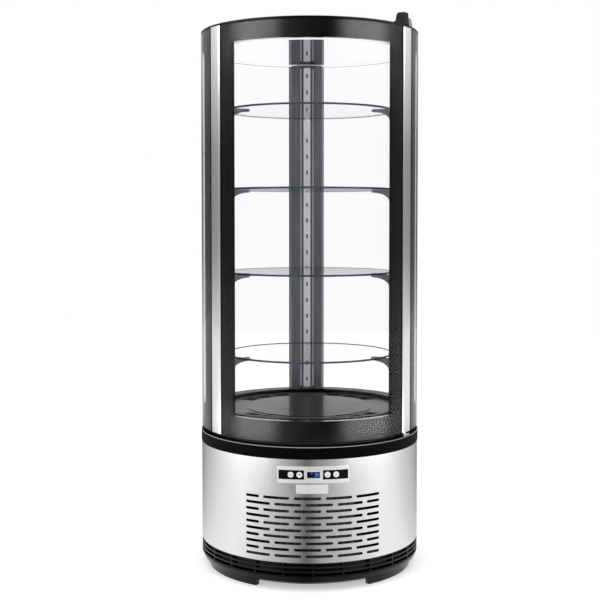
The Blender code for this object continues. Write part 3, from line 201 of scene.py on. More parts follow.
# specular level, how metallic, two colours, the range of roughness, the grain's scale and its depth
mouldedLooks = {
    "blackMoulded": (0.25, 0.0, (0.006, 0.006, 0.007), (0.011, 0.01, 0.012), (0.34, 0.48), 900.0, 0.00012),
    "blackGloss": (0.14, 0.0, 0.001, 0.002, (0.1, 0.2), 40.0, 0.00001),
    "blackSatin": (0.35, 0.0, 0.003, 0.005, (0.16, 0.24), 900.0, 0.00001),
    "plateSilver": (0.5, 0.5, (0.95, 0.95, 0.96), (0.97, 0.97, 0.98), (0.26, 0.32), 500.0, 0.000002),
    "bezelSilver": (0.5, 0.5, (0.88, 0.88, 0.9), (0.92, 0.92, 0.93), (0.22, 0.28), 500.0, 0.000004),
    "whiteMoulded": (0.5, 0.0, (0.72, 0.72, 0.73), 0.78, (0.28, 0.38), 700.0, 0.00006),
    "inkDark": (0.3, 0.0, (0.03, 0.03, 0.035), (0.05, 0.05, 0.055), (0.5, 0.6), 500.0, 0.00003),
    "displayDark": (0.15, 0.0, (0.002, 0.003, 0.014), (0.003, 0.005, 0.024), (0.1, 0.16), 60.0, 0.00002),
    "powderGrey": (0.5, 0.3, (0.22, 0.215, 0.23), (0.26, 0.25, 0.27), (0.38, 0.5), 1200.0, 0.0001),
    "postGrey": (0.5, 0.1, (0.19, 0.185, 0.2), (0.21, 0.205, 0.22), (0.28, 0.36), 900.0, 0.00004),
    "paintedDark": (0.5, 0.2, (0.03, 0.03, 0.032), (0.045, 0.045, 0.048), (0.42, 0.56), 1100.0, 0.0001),
    "deckSheet": (0.06, 0.1, (0.17, 0.17, 0.175), (0.19, 0.19, 0.195), (0.3, 0.33), 400.0, 0.000001),
    "copperPipe": (0.5, 1.0, (0.3, 0.15, 0.1), (0.22, 0.11, 0.07), (0.35, 0.5), 150.0, 0.00005),
    "rubberBlack": (0.25, 0.0, 0.012, 0.02, (0.65, 0.8), 800.0, 0.00015),
}
coats = {"displayDark": {"Coat Weight": 0.1, "Coat Roughness": 0.03}}
# how metallic, two colours, how the streaks are drawn out, their scale, the range of roughness, the depth
brushedLooks = {
    "steelBrushed": (1.0, (0.9, 0.89, 0.91), (0.86, 0.85, 0.87), (1, 1, 0.008), 1400.0, (0.14, 0.2), 0.00001),
    "steelPlain": (1.0, (0.7, 0.7, 0.71), (0.58, 0.58, 0.59), (1, 1, 0.3), 200.0, (0.18, 0.3), 0.00003),
    "aluminiumSatin": (1.0, (0.9, 0.89, 0.91), (0.86, 0.85, 0.87), (1, 1, 0.01), 1500.0, (0.12, 0.17), 0.00001),
    "mirrorSteel": (1.0, (0.97, 0.965, 0.98), (0.95, 0.945, 0.96), (1, 0.1, 1), 40.0, (0.03, 0.05), 0.000001),
    "finMetal": (0.8, (0.3, 0.3, 0.31), (0.16, 0.16, 0.17), (1, 1, 0.1), 300.0, (0.4, 0.55), 0.00006),
}
# how much passes through, the index of refraction and two tints
glassLooks = {"glassClear": (1.0, 1.1, (0.998, 0.994, 1.0), (0.992, 0.99, 0.998)),
              "glassShelf": (1.0, 1.015, (0.985, 0.995, 0.995), (0.98, 0.992, 0.992)),
              "glassRim": (0.35, 1.3, (0.12, 0.19, 0.20), (0.10, 0.16, 0.18))}
# the surface's own colour, its roughness, the strength of its light and two shades of it
# the pilaster's silver glows a little: painted light that stands in for the LED strips beside it
glowingLooks = {"silverPaintWithPaintedGlow": ((0.88, 0.88, 0.89), 0.35, 0.15, (0.9, 0.9, 0.92), 1.0),
                "digitBlue": ((0.02, 0.05, 0.3), 0.5, 1.2, (0.05, 0.22, 1.0), (0.1, 0.32, 1.0)),
                "ledDiffuser": ((0.35, 0.35, 0.36), 0.5, 0.3, (0.95, 0.96, 1.0), 1.0)}
for name, (shine, metallic, *look) in mouldedLooks.items():
    settings = {"Specular IOR Level": shine, "Metallic": metallic, **coats.get(name, {})}
    makeFinish(name, settings, moulded(*look))
for name, (metallic, *look) in brushedLooks.items():
    makeFinish(name, {"Metallic": metallic}, brushed(*look))
for name, (through, index, *look) in glassLooks.items():
    makeFinish(name, {"Transmission Weight": through, "IOR": index}, cleanGlass(*look))
for name, (colour, rough, strength, *look) in glowingLooks.items():
    makeFinish(name, {"Base Color": colour, "Roughness": rough, "Emission Strength": strength}, glowing(*look))
makeFinish("collarBlack", {"Specular IOR Level": 0.04},  # with a painted highlight: a light grey line along its upper lip
           lambda board: {"Base Color": board.blend(board.span(board.spot(2), 0.4214, 0.4218)
                                                    * board.span(board.spot(2), 0.4234, 0.4238, 1.0, 0.0),
                                                    0.0015, (0.3, 0.3, 0.31))})
makeFinish("blackPrint", {"Specular IOR Level": 0.1, "Roughness": 0.11, "Coat Roughness": 0.09},
           lambda board: {"Base Color": board.blend(board.noise(7.0), (0.005, 0.005, 0.006),
                                                    (0.007, 0.006, 0.008)),
                          "Coat Weight": board.span(board.away(0), 0.195, 0.245, 1.0, 0.0)})
# a white that glows though it is no lamp: painted light on the upper ring's brim and lining
makeFinish("whitePaintedGlow", {"Roughness": 0.4, "Emission Strength": 0.66},
           lambda board: {"Base Color": board.blend(board.noise(5.0), (0.8, 0.8, 0.81), 0.84),
                          "Emission Color": board.blend(board.noise(2.0), (0.95, 0.95, 0.98), 1.0)})
print("finishes made:", len(finishes))


def ring(count):
    # evenly spread turns of a full circle, the last point left out
    return np.linspace(0, 2 * math.pi, count, endpoint=False)


def onDrum(radius, angle, height):
    # a point at an angle in degrees from the front, towards the right: (r sin a, -r cos a, z)
    radius, angle, height = np.broadcast_arrays(np.asarray(radius, float), np.radians(angle), height)
    return np.stack([radius * np.sin(angle), -radius * np.cos(angle), height], -1)


def gridQuads(rows, columns, wrapRows=False, wrapColumns=False, keep=None):
    # each quad joins point (i, j) with (i+1, j), (i+1, j+1) and (i, j+1)
    i, j = np.meshgrid(np.arange(rows if wrapRows else rows - 1),
                       np.arange(columns if wrapColumns else columns - 1), indexing="ij")
    iNext, jNext = (i + 1) % rows, (j + 1) % columns
    quads = np.stack([i * columns + j, iNext * columns + j, iNext * columns + jNext, i * columns + jNext], -1)
    quads = quads.reshape(-1, 4)
    return quads if keep is None else quads[keep.ravel()]


def stack(parts):
    # several (points, faces) pairs as one
    points, faces, count = [], [], 0
    for some, quads in parts:
        points.append(np.asarray(some, float).reshape(-1, 3))
        faces += [[n + count for n in face] for face in (quads.tolist() if hasattr(quads, "tolist") else quads)]
        count += len(points[-1])
    return np.concatenate(points), faces


def makePiece(name, parts, finish, nodes=(), body="case", closed=True, wall=0.0, edge=0.0,
              edgeSteps=2, sharp=35):
    # one mesh from (points, faces) pairs, its doubles merged, then an optional wall and rounded edges
    points, faces = stack(parts)
    mesh = bpy.data.meshes.new(name)
    mesh.from_pydata(points.tolist(), [], faces)
    shape = bmesh.new()
    shape.from_mesh(mesh)
    bmesh.ops.remove_doubles(shape, verts=shape.verts, dist=0.000004)
    bmesh.ops.dissolve_degenerate(shape, edges=shape.edges, dist=0.000002)
    if closed:
        bmesh.ops.recalc_face_normals(shape, faces=shape.faces)
    shape.to_mesh(mesh)
    shape.free()
    mesh.materials.append(finishes[finish])
    piece = bpy.data.objects.new(name, mesh)
    bpy.context.scene.collection.objects.link(piece)
    if wall:  # applied at once, so that the sharp edges of its rim are found
        solid = piece.modifiers.new("wall", "SOLIDIFY")
        solid.thickness = wall
        solid.offset = -1
        bpy.context.view_layer.update()
        mesh = bpy.data.meshes.new_from_object(piece.evaluated_get(bpy.context.evaluated_depsgraph_get()))
        mesh.name = name
        piece.modifiers.clear()
        piece.data = mesh
    mesh.shade_smooth()
    mesh.set_sharp_from_angle(angle=math.radians(sharp))
    if edge:
        bevel = piece.modifiers.new("edge", "BEVEL")
        bevel.width = edge
        bevel.segments = edgeSteps
        bevel.limit_method = "ANGLE"
        bevel.angle_limit = math.radians(40)
        bevel.harden_normals = True
    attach(piece, body)
    if nodes:
        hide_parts(*nodes)


def turned(profile, start=0.0, end=360.0, step=2.0):
    # a closed profile (radius, height) carried round the axis; an open sweep gets flat ends
    profile = np.array(profile, float)
    full = end - start >= 360
    steps = max(2, round((end - start) / step))
    angles = np.linspace(start, end, steps, endpoint=False) if full else np.linspace(start, end, steps + 1)
    points = onDrum(profile[None, :, 0], angles[:, None], profile[None, :, 1])
    faces = gridQuads(len(angles), len(profile), full, True).tolist()
    if not full:
        count = len(profile)
        faces += [list(range(count)), list(range(len(angles) * count - 1, (len(angles) - 1) * count - 1, -1))]
    return points, faces


up = np.array([0, 0, 1])
corners = np.array([(-1, -1), (1, -1), (1, 1), (-1, 1)])


def prism(points):
    # two copies of an outline, joined by quads and closed by a flat face at both ends
    count = points.shape[1]
    return points, gridQuads(2, count, False, True).tolist() + [list(range(count)),
                                                                list(range(2 * count - 1, count - 1, -1))]


def bearings(angle):
    # the outward and the sideways direction on the drum: (sin a, -cos a) and (cos a, sin a)
    turn = math.radians(angle)
    return np.array([math.sin(turn), -math.cos(turn), 0]), np.array([math.cos(turn), math.sin(turn), 0])


def wallRing(inner, outer, low, high, start=0.0, end=360.0, step=2.0):
    # a wall round the axis with a rectangle as its section
    return turned([(outer, low), (outer, high), (inner, high), (inner, low)], start, end, step)


def upright(outline, low, high):
    # a flat outline (x, y) carried straight up
    outline = np.array(outline, float)
    return prism(np.stack([np.column_stack([outline, np.full(len(outline), level)]) for level in (low, high)]))


def standing(outline, width, radius, angle, height):
    # an outline (inward, up) that stands on the drum at an angle and runs width across it
    outline = np.array(outline, float)
    outward, sideways = bearings(angle)
    flat = onDrum(radius, angle, height) - outline[:, :1] * outward + outline[:, 1:] * up
    return prism(np.stack([flat - sideways * width / 2, flat + sideways * width / 2]))


def window(outer, inner, far, near, steps=44, bend=6):
    # a frame on the drum, lofted at two depths from an outer box to an inner one, both (half angle, low, high)
    there = np.linspace(-1, 1, steps + 1)
    share = np.concatenate([there, np.ones(bend), there[::-1], -np.ones(bend)])
    side = np.linspace(-1, 1, bend + 2)[1:-1]
    rise = np.concatenate([-np.ones(steps + 1), side, np.ones(steps + 1), -side])
    outside, inside = (np.stack([share * half, (low + high) / 2 + rise * (high - low) / 2], -1)
                       for half, low, high in (outer, inner))
    lay = np.linspace(0, 1, 5)[:, None, None]
    sheet = outside * (1 - lay) + inside * lay
    points = np.concatenate([onDrum(near, sheet[..., 0], sheet[..., 1]),
                             onDrum(far, sheet[::-1, :, 0], sheet[::-1, :, 1])])
    return points, gridQuads(len(points), points.shape[1], True, True)


def aboutButton(profile, angle, height, steps=40):
    # a profile (radius, out) carried round a line that leaves the drum at an angle
    profile = np.array(profile, float)
    outward, sideways = bearings(angle)
    turns = ring(steps)[:, None, None]
    points = (height * up + outward * profile[None, :, 1:]
              + profile[None, :, :1] * (sideways * np.cos(turns) + up * np.sin(turns)))
    return points, gridQuads(steps, len(profile), True, False)


# heights of the stack, in metres from the floor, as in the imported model
levels = {"body": 0.085, "collar": 0.388, "recess": 0.424, "glass": 0.436, "window": 0.498,
          "windowTop": 1.596, "glassTop": 1.65, "cover": 1.6565, "deck": 0.486, "deckGlass": 0.4913,
          "shelves": (0.6603, 0.9163, 1.1753, 1.4203)}
gap = 0.0003  # between neighbours
glassLow, glassHigh = levels["glass"], levels["glassTop"] - gap
windowLow, windowHigh = levels["window"], levels["windowTop"]
sides = (("Left", -1), ("Right", 1))

plinth = {"radius": 0.340, "inner": 0.302, "foot": 0.318, "footHeight": 0.018, "notch": 31.5, "bays": 24,
          "ribs": ((0.0405, 0.0470), (0.0555, 0.0605), (0.0690, 0.0740), (0.0820, 0.0850)), "ribDepth": 0.012,
          "barWidth": 0.6}


def makePlinth():
    # a skirt and two foot arcs, a back wall, four round-edged rings and upright bars between them
    r, inner, foot, low = plinth["radius"], plinth["inner"], plinth["foot"], plinth["footHeight"]
    skirt = [(foot, low), (r - 0.006, low + 0.009), (r, low + 0.024), (r, 0.0470), (r - 0.012, 0.0470),
             (inner, low + 0.006), (inner, low)]
    parts = [turned(skirt, step=1.5)]
    for middle in (90.0, 270.0):
        reach = 90.0 - plinth["notch"]
        parts.append(wallRing(inner, foot, 0.0, low + 0.001, middle - reach, middle + reach, 1.5))
    parts.append(wallRing(r - 0.016, r - 0.013, 0.03, 0.085, step=3))
    soft = 0.0008
    for bottom, top in plinth["ribs"]:
        parts.append(turned([(r - soft, bottom), (r, bottom + soft), (r, top - soft), (r - soft, top),
                             (r - plinth["ribDepth"], top), (r - plinth["ribDepth"], bottom)], step=1.5))
    half = plinth["barWidth"] / 2
    for bay in np.arange(plinth["bays"]) * 360.0 / plinth["bays"]:
        parts.append(wallRing(r - 0.014, r - 0.0006, 0.044, 0.0835, bay - half, bay + half, 0.3))
    makePiece("plinthRing", parts, "blackSatin", ["plinth"], sharp=30)


makePlinth()
print("plinth made")


drum = {"radius": 0.340, "sheet": 0.0015, "low": 0.0853, "high": 0.3877, "rows": 10, "pitch": 0.0188,
        "slot": 0.008, "base": 0.0196, "half": 35.1, "long": 13.4, "bridge": 2.27, "edge": 36.5, "curl": 8,
        "panel": (-17.4, 17.4, 0.328, 0.359), "inlet": (141.87, 150.13, 0.1187, 0.1516),
        "rear": (154.0, 206.0, 0.10695, 0.299)}


def slotCell(lower, start, end, middle, turnOver):
    # the metal round one slot: points on the cell's border, matched to points on the slot's outline
    half, nose = drum["pitch"] / 2, drum["slot"] / 2
    wide = math.degrees(nose / drum["radius"])
    count, curl = len(lower), drum["curl"]
    rise = np.linspace(-half, half, curl + 1)[1:-1]
    border = np.concatenate([
        np.stack([lower, np.full(count, -half)], -1), np.stack([np.full(curl - 1, lower[-1]), rise], -1),
        np.stack([lower[::-1], np.full(count, half)], -1), np.stack([np.full(curl - 1, lower[0]), -rise], -1)])
    straight = np.linspace(start + wide, end - wide, count)
    bend = np.linspace(-math.pi / 2, math.pi / 2, curl + 1)[1:-1]
    outline = np.concatenate([
        np.stack([straight, np.full(count, -nose)], -1),
        np.stack([end - wide + wide * np.cos(bend), nose * np.sin(bend)], -1),
        np.stack([straight[::-1], np.full(count, nose)], -1),
        np.stack([start + wide - wide * np.cos(bend), -nose * np.sin(bend)], -1)])
    rings = np.stack([border, border * 0.45 + outline * 0.55, outline])
    if turnOver:
        rings[..., 0] = -rings[..., 0]
        rings = rings[:, ::-1]
    quads = gridQuads(3, rings.shape[1], False, True)[:, ::-1]
    return onDrum(drum["radius"], rings[..., 0], middle + rings[..., 1]), quads


def makeDrumSheet():
    # a grid of angles and heights with the openings dropped, and a cell for each slot in the grille's place
    marks = [(-36.5, 12), (-26.445, 7), (-20.565, 12), (-10.775, 7), (-4.895, 12), (4.895, 7), (10.775, 12),
             (20.565, 7), (26.445, 12), (36.5, 120), (141.87, 9), (150.13, 4), (154.0, 58), (206.0, 134)]
    ends = [mark[0] for mark in marks[1:]] + [323.5]
    angles = np.concatenate([np.linspace(mark, stop, count, endpoint=False)
                             for (mark, count), stop in zip(marks, ends)])
    low = levels["body"] + drum["base"] - drum["pitch"] / 2
    high = low + drum["rows"] * drum["pitch"]
    heights = np.concatenate([[drum["low"]], np.linspace(low, high, drum["rows"] * drum["curl"] + 1),
                              [drum["rear"][3], *drum["panel"][2:], drum["high"]]])
    points = onDrum(drum["radius"], angles[:, None], heights[None, :])
    middleAngle = (angles + np.append(angles[1:], angles[0] + 360)) / 2
    middleHeight = (heights[1:] + heights[:-1]) / 2
    a, z = np.meshgrid(middleAngle, middleHeight, indexing="ij")
    holes = [(-drum["edge"], drum["edge"], low, high), drum["panel"], drum["inlet"], drum["rear"]]
    gone = np.any([(a > start) & (a < end) & (z > bottom) & (z < top) for start, end, bottom, top in holes], 0)
    parts = [(points, gridQuads(len(angles), len(heights), True, False, ~gone))]
    front = angles[:89]  # the lines across the grille, from its left edge to its right
    period = drum["long"] + drum["bridge"]
    cuts = (0, 19, 38, 57, 76, 88)  # where one cell ends and the next starts
    for row in range(drum["rows"]):
        middle = levels["body"] + drum["base"] + row * drum["pitch"]
        for number, (left, right) in enumerate(zip(cuts, cuts[1:])):
            start = -drum["half"] + number * period
            end = min(start + drum["long"], drum["half"])
            parts.append(slotCell(front[left:right + 1], start, end, middle, row % 2))
    makePiece("drumSheet", parts, "steelBrushed", ["body_panel"], closed=False,
              wall=drum["sheet"])


makeDrumSheet()
print("drum sheet made")


collar = {"radius": 0.3415, "inner": 0.3055, "round": 0.0032}


def makeCollar():
    # a ring with rounded edges
    r = collar["radius"]
    makePiece("collarRing", [wallRing(collar["inner"], r, levels["collar"], levels["recess"], step=1.5)],
              "collarBlack", ["collar_ring"], edge=collar["round"], edgeSteps=4)


makeCollar()
print("collar made")


panel = {"middle": 0.3435, "half": 17.9, "low": 0.319, "high": 0.368, "insetInner": 4.6, "insetOuter": 17.2,
         "insetHeight": 0.027, "display": 3.15, "displayHeight": 0.0178, "radius": 0.3415, "wall": 0.0012,
         "plate": (-0.7, 7.85, 0.2885, 0.3155), "buttonRadius": 0.0085}
buttonAngles = {"button_power": -11.2, "button_set": -6.9, "button_down": 6.9, "button_up": 11.2}


def spread(marks, step):
    # the marks and enough points between each pair to keep a step
    parts = [np.linspace(a, b, max(1, round((b - a) / step)), endpoint=False) for a, b in zip(marks, marks[1:])]
    return np.concatenate(parts + [marks[-1:]])


def makeBezel():
    # a curved plate with two long insets and the display's window dropped from its grid
    marks = np.array([panel["half"], panel["insetOuter"], panel["insetInner"], panel["display"]])
    angles = spread(list(-marks) + list(marks[::-1]), 0.8)
    m, h, d = panel["middle"], panel["insetHeight"] / 2, panel["displayHeight"] / 2
    heights = np.array([panel["low"], m - h, m - d, m + d, m + h, panel["high"]])
    points = onDrum(panel["radius"], angles[:, None], heights[None, :])
    a, z = np.meshgrid((angles[1:] + angles[:-1]) / 2, (heights[1:] + heights[:-1]) / 2, indexing="ij")
    gone = (np.abs(a) > panel["insetInner"]) & (np.abs(a) < panel["insetOuter"]) & (np.abs(z - m) < h)
    gone |= (np.abs(a) < panel["display"]) & (np.abs(z - m) < d)
    makePiece("controlBezel", [(points, gridQuads(len(angles), len(heights), keep=~gone))], "bezelSilver",
              ["control_bezel"], closed=False, wall=panel["wall"], edge=0.0004)


def makeButtons():
    # a dished cap with a soft rim, and a raised mark on it
    m, r, top = panel["middle"], panel["buttonRadius"], 0.3413
    profile = [(0.0, 0.3345), (r, 0.3345), (r, top - 0.0008), (r - 0.0003, top - 0.0003), (r - 0.0008, top),
               (r - 0.0016, top - 0.0001), (r - 0.0028, top - 0.0006), (0.0, top - 0.0008)]
    for node, angle in buttonAngles.items():
        word = node[7:].capitalize()
        makePiece("cap" + word, [aboutButton(profile, angle, m)], "whiteMoulded", [node], node)
        makeMark("mark" + word, node, angle, m, top - 0.0008)


def makeMark(name, node, angle, height, out):
    # a sign of flat strokes on a button's face, each a box (x, y, half x, half y, turn)
    strokes = {
        "button_power": [(0.0026 * math.cos(t), 0.0026 * math.sin(t), 0.0007, 0.0004, t + math.pi / 2)
                         for t in np.radians(np.arange(125, 416, 29))] + [(0, 0.0024, 0.0004, 0.0014, 0)],
        "button_set": [(0, 0, 0.003, 0.0004, t) for t in np.radians([0, 60, 120])],
        "button_down": [(-0.0011, -0.0004, 0.0019, 0.0005, -0.8), (0.0011, -0.0004, 0.0019, 0.0005, 0.8)],
        "button_up": [(-0.0011, 0.0004, 0.0019, 0.0005, 0.8), (0.0011, 0.0004, 0.0019, 0.0005, -0.8)],
    }[node]
    outward, sideways = bearings(angle)
    parts = []
    for x, y, halfX, halfY, lean in strokes:
        lean = np.array([[math.cos(lean), math.sin(lean)], [-math.sin(lean), math.cos(lean)]])
        flat = corners * (halfX, halfY) @ lean + (x, y)
        spot = height * up + flat[:, :1] * sideways + flat[:, 1:] * up
        parts.append(prism(np.stack([spot + outward * (out - 0.0002), spot + outward * (out + 0.00025)])))
    makePiece(name, parts, "inkDark", body=node)


def drumBox(angle, height, halfAngle, halfHeight, near, far):
    # a small curved box on the drum, given by its middle and half sizes
    return wallRing(far, near, height - halfHeight, height + halfHeight, angle - halfAngle, angle + halfAngle)


def makeDisplay():
    # two digits of strokes (across, up), a small sign beside them and three marks above the window
    m, near, far = panel["middle"], 0.34135, 0.3409
    digits = ((1.15, ((0, 2), (0, -2), (-1, 1), (1, 1), (-1, -1), (1, -1))),
              (2.15, ((0, 0), (-1, 1), (1, 1), (1, -1))))
    parts = []
    for centre, strokes in digits:
        for across, rise in strokes:
            half = (0.085, 0.0022) if across else (0.27, 0.0005)
            parts.append(drumBox(centre + across * 0.34, m + rise * 0.0027, *half, near, far))
    parts.append(drumBox(-0.9, m + 0.0032, 0.24, 0.001, near, far))
    makePiece("displayDigits", parts, "digitBlue")
    marks = [drumBox(a, panel["high"] - 0.0085, 0.28, 0.0007, 0.34165, 0.3413) for a in (-2.1, 0.0, 2.1)]
    makePiece("panelMarks", marks, "inkDark")


def makeBarePlate():
    # a thin raised plate under the bezel, with a smaller one on it
    middle, half, low, high = panel["plate"]
    makePiece("barePlate", [wallRing(0.3398, 0.3409, low, high, middle - half, middle + half, 1.0),
                            wallRing(0.3405, 0.3412, low + 0.0022, high - 0.0022, middle - half + 0.4,
                                     middle + half - 0.4, 1.0)],
              "plateSilver", edge=0.0003)


makeBezel()
makeButtons()
makeDisplay()
makeBarePlate()
print("control panel made")


cabinet = {"glass": 0.3387, "pane": 0.004, "frameInner": 0.284, "stop": 0.297, "innerPane": 0.294,
           "fixed": 63.6, "post": 70.6, "print": (74.2, 72.0), "stopAngle": 56.5, "rearHalf": 10.2,
           "frameOuter": 0.3344, "skin": 0.325, "brim": 0.0072, "cap": 0.6}


def makeFrame():
    # two rings with the door's seat cut out of their front, the upper one with a white brim and lining that glow
    # as painted light; two posts
    inner, stop, outer = cabinet["frameInner"], cabinet["stop"], cabinet["frameOuter"]
    fixed, post, stopAngle = cabinet["fixed"], cabinet["post"], cabinet["stopAngle"]
    low, high = glassLow, windowLow - gap
    makePiece("ringLower", [wallRing(inner, stop, low, high, -fixed - 0.5, fixed + 0.5, 1.5),
                            wallRing(inner, outer, low, high, fixed, 360 - fixed, 1.5)],
              "blackMoulded", ["lower_frame_ring"])
    low, high, skin = windowHigh + gap, glassHigh, cabinet["skin"]
    cap, brim = fixed + cabinet["cap"], low + cabinet["brim"]
    makePiece("ringUpper", [wallRing(inner, stop, brim + 0.0002, high, 0.03 - fixed, fixed - 0.03, 1.5),
                            wallRing(inner, outer, low, high, fixed, cap - 0.02, 0.3),
                            wallRing(inner, outer, low, high, 360.02 - cap, 360 - fixed, 0.3),
                            wallRing(skin, outer, low, high, cap, 360 - cap, 1.5)],
              "blackMoulded", ["upper_frame_ring"])
    makePiece("ringUpperInner", [wallRing(inner, stop, low, brim, 0.03 - fixed, fixed - 0.03, 1.5),
                                 wallRing(inner, skin - 0.0002, low, high, cap, 360 - cap, 1.5)],
              "whitePaintedGlow")
    for word, side in sides:
        spans = [sorted((side * stopAngle, side * (fixed + 0.3))), sorted((side * fixed, side * post))]
        makePiece("post" + word, [wallRing(inner, stop, windowLow, windowHigh, *spans[0], 1.2),
                                  wallRing(inner, outer, windowLow, windowHigh, *spans[1], 1.2)],
                  "blackMoulded", ["front_post_" + word.lower()])


def makePanes():
    # curved panes with softened edges, and a black border on the inside of each outer one
    r, pane, inner = cabinet["glass"], cabinet["pane"], cabinet["innerPane"]
    rear = 180 - cabinet["rearHalf"] - 0.06
    low, high = windowLow, windowHigh
    for word, side in sides:
        node = "side_glass_" + word.lower()
        span = sorted((side * cabinet["fixed"], side * rear))
        makePiece("pane%sOuter" % word, [wallRing(r - pane, r, glassLow, glassHigh, *span, 1.5)],
                  "glassClear", [node + "_outer"], edge=0.0006)
        span = sorted((side * (cabinet["post"] + 0.06), side * rear))
        makePiece("pane%sInner" % word, [wallRing(inner - pane, inner, low, high, *span, 1.5)],
                  "glassClear", [node + "_inner"], edge=0.0006)
        span = sorted((side * (cabinet["post"] - 0.2), side * cabinet["print"][side > 0]))
        makePiece("print" + word, [wallRing(r - pane - 0.0011, r - pane - gap, low, high, *span, 1.0)],
                  "blackMoulded")


shelf = {"radius": 0.26, "thick": 0.006, "edge": 0.0018}


def makeShelves():
    # round plates, each with its darker pencil edge as a rim of its own
    r, t, e = shelf["radius"], shelf["thick"], shelf["edge"]
    for number, top in enumerate(levels["shelves"], start=1):
        low = top - t
        profile = [(0, low), (r - e, low), (r - e, top), (0, top)]
        makePiece("shelf%d" % number, [turned(profile, step=2.5)], "glassShelf", ["glass_shelf_%d" % number])
        rim = [(r - e + 0.0001, low), (r - 0.3 * e, low + 0.3 * e), (r, low + e), (r, top - e),
               (r - 0.3 * e, top - 0.3 * e), (r - e + 0.0001, top)]
        makePiece("shelfRim%d" % number, [turned(rim, step=2.5)], "glassRim")


deck = {"rim": 0.2837, "sheet": 0.002, "slots": ((15.0, 28.0), (30.0, 43.0), (45.0, 58.0)),
        "radii": (0.0, 0.1, 0.2095, 0.2655, 0.279), "disc": (0.2, 0.4863, 0.0015)}


def makeDeck():
    # a turned pan whose floor is a grid of radii and angles with the air slots dropped, and a glass disc
    rim, level, slots = deck["rim"], levels["deck"], deck["slots"]
    marks = [mark for slot in slots for mark in slot]
    mirrored = [part for m in marks for part in (m, 180 - m, 180 + m, 360 - m)]
    angles = spread(sorted([0.0, 180.0] + mirrored) + [360.0], 2.5)[:-1]
    radii = np.array(deck["radii"])
    points = onDrum(radii[None, :], angles[:, None], level)
    middle = (angles + np.append(angles[1:], 360.0)) / 2
    fold = np.abs((middle % 180 + 90) % 180 - 90)
    inSlot = np.any([(fold > start) & (fold < end) for start, end in slots], 0)
    gone = np.zeros((len(angles), len(radii) - 1), bool)
    gone[:, 2] = inSlot
    floor = (points, gridQuads(len(angles), len(radii), True, False, ~gone)[:, ::-1])
    lip = np.array([(radii[-1], level), (rim - 0.0016, level), (rim, level - 0.0016), (rim, glassLow)])
    skirt = (onDrum(lip[None, :, 0], angles[:, None], lip[None, :, 1]), gridQuads(len(angles), 4, True)[:, ::-1])
    makePiece("deckPan", [floor, skirt], "deckSheet", ["deck_plate"], closed=False,
              wall=deck["sheet"])
    (r, low, e), top = deck["disc"], levels["deckGlass"]
    profile = [(0, low), (r - e, low), (r, low + e), (r, top - e), (r - e, top), (0, top)]
    makePiece("deckDisc", [turned(profile, step=2.5)], "glassShelf", ["deck_glass"])


arm = {"reach": 0.062, "root": 0.036, "tip": 0.009, "width": 0.01, "drop": 0.0063, "railFace": 0.2765,
       "railAngle": 62.0}


def arms(angle, radius):
    # a bracket under each shelf: flat top, rounded tip and a quarter wave down to a deep root
    reach, root, tip = arm["reach"], arm["root"], arm["tip"]
    nose = np.linspace(0, math.pi, 7)
    tipArc = np.stack([reach - 0.002 + 0.0045 * np.sin(nose), -tip / 2 + tip / 2 * np.cos(nose)], -1)
    sweep = np.linspace(0.15, 1, 12) * math.pi / 2
    hollow = np.stack([reach - (reach - 0.006) * np.sin(sweep), -tip - (root - tip) * (1 - np.cos(sweep))], -1)
    outline = np.concatenate([[(-0.002, 0)], tipArc, hollow, [(0.003, -root - 0.001), (-0.002, -root - 0.001)]])
    return [standing(outline, arm["width"], radius, angle, top - arm["drop"]) for top in levels["shelves"]]


def makeRails():
    # an upright rail with its brackets, left and right
    low, high = windowLow + 0.01, windowHigh - 0.01
    for word, side in sides:
        angle, face = side * arm["railAngle"], arm["railFace"]
        parts = [wallRing(face, 0.2837, low, high, angle - 2, angle + 2, 1.0)] + arms(angle, face)
        makePiece("rail" + word, parts, "powderGrey", ["shelf_rail_" + word.lower()],
                  edge=0.0009)


rearBar = {"pitch": 0.0526, "slotWide": 0.006, "slotHigh": 0.014, "face": 0.2660, "depth": 0.0057, "half": 0.0116}


def makePilaster():
    # a flat bar of cells, each with a slot in its middle, and the rear brackets
    low, high = windowLow + 0.01, windowHigh - 0.01
    half, face = rearBar["half"], rearBar["face"]
    count = int((high - low) / rearBar["pitch"])
    pitch = (high - low) / count
    middles = low + pitch * (np.arange(count) + 0.5)
    wide, tall = rearBar["slotWide"] / 2, rearBar["slotHigh"] / 2
    box, hole = corners * (half, pitch / 2), corners * (wide, tall)
    rings = np.stack([box, hole, hole, box])
    depth = np.array([0, 0, 1, 1])[:, None] * rearBar["depth"]
    parts = []
    for middle in middles:
        points = np.stack([rings[..., 0], face + depth + 0 * rings[..., 0], middle + rings[..., 1]], -1)
        parts.append((points, gridQuads(4, 4, True, True)))
    # its silver finish glows a little as painted light for the LED strips beside it
    makePiece("pilasterBar", parts + arms(180.0, face), "silverPaintWithPaintedGlow", ["rear_pilaster"],
              edge=0.0006)


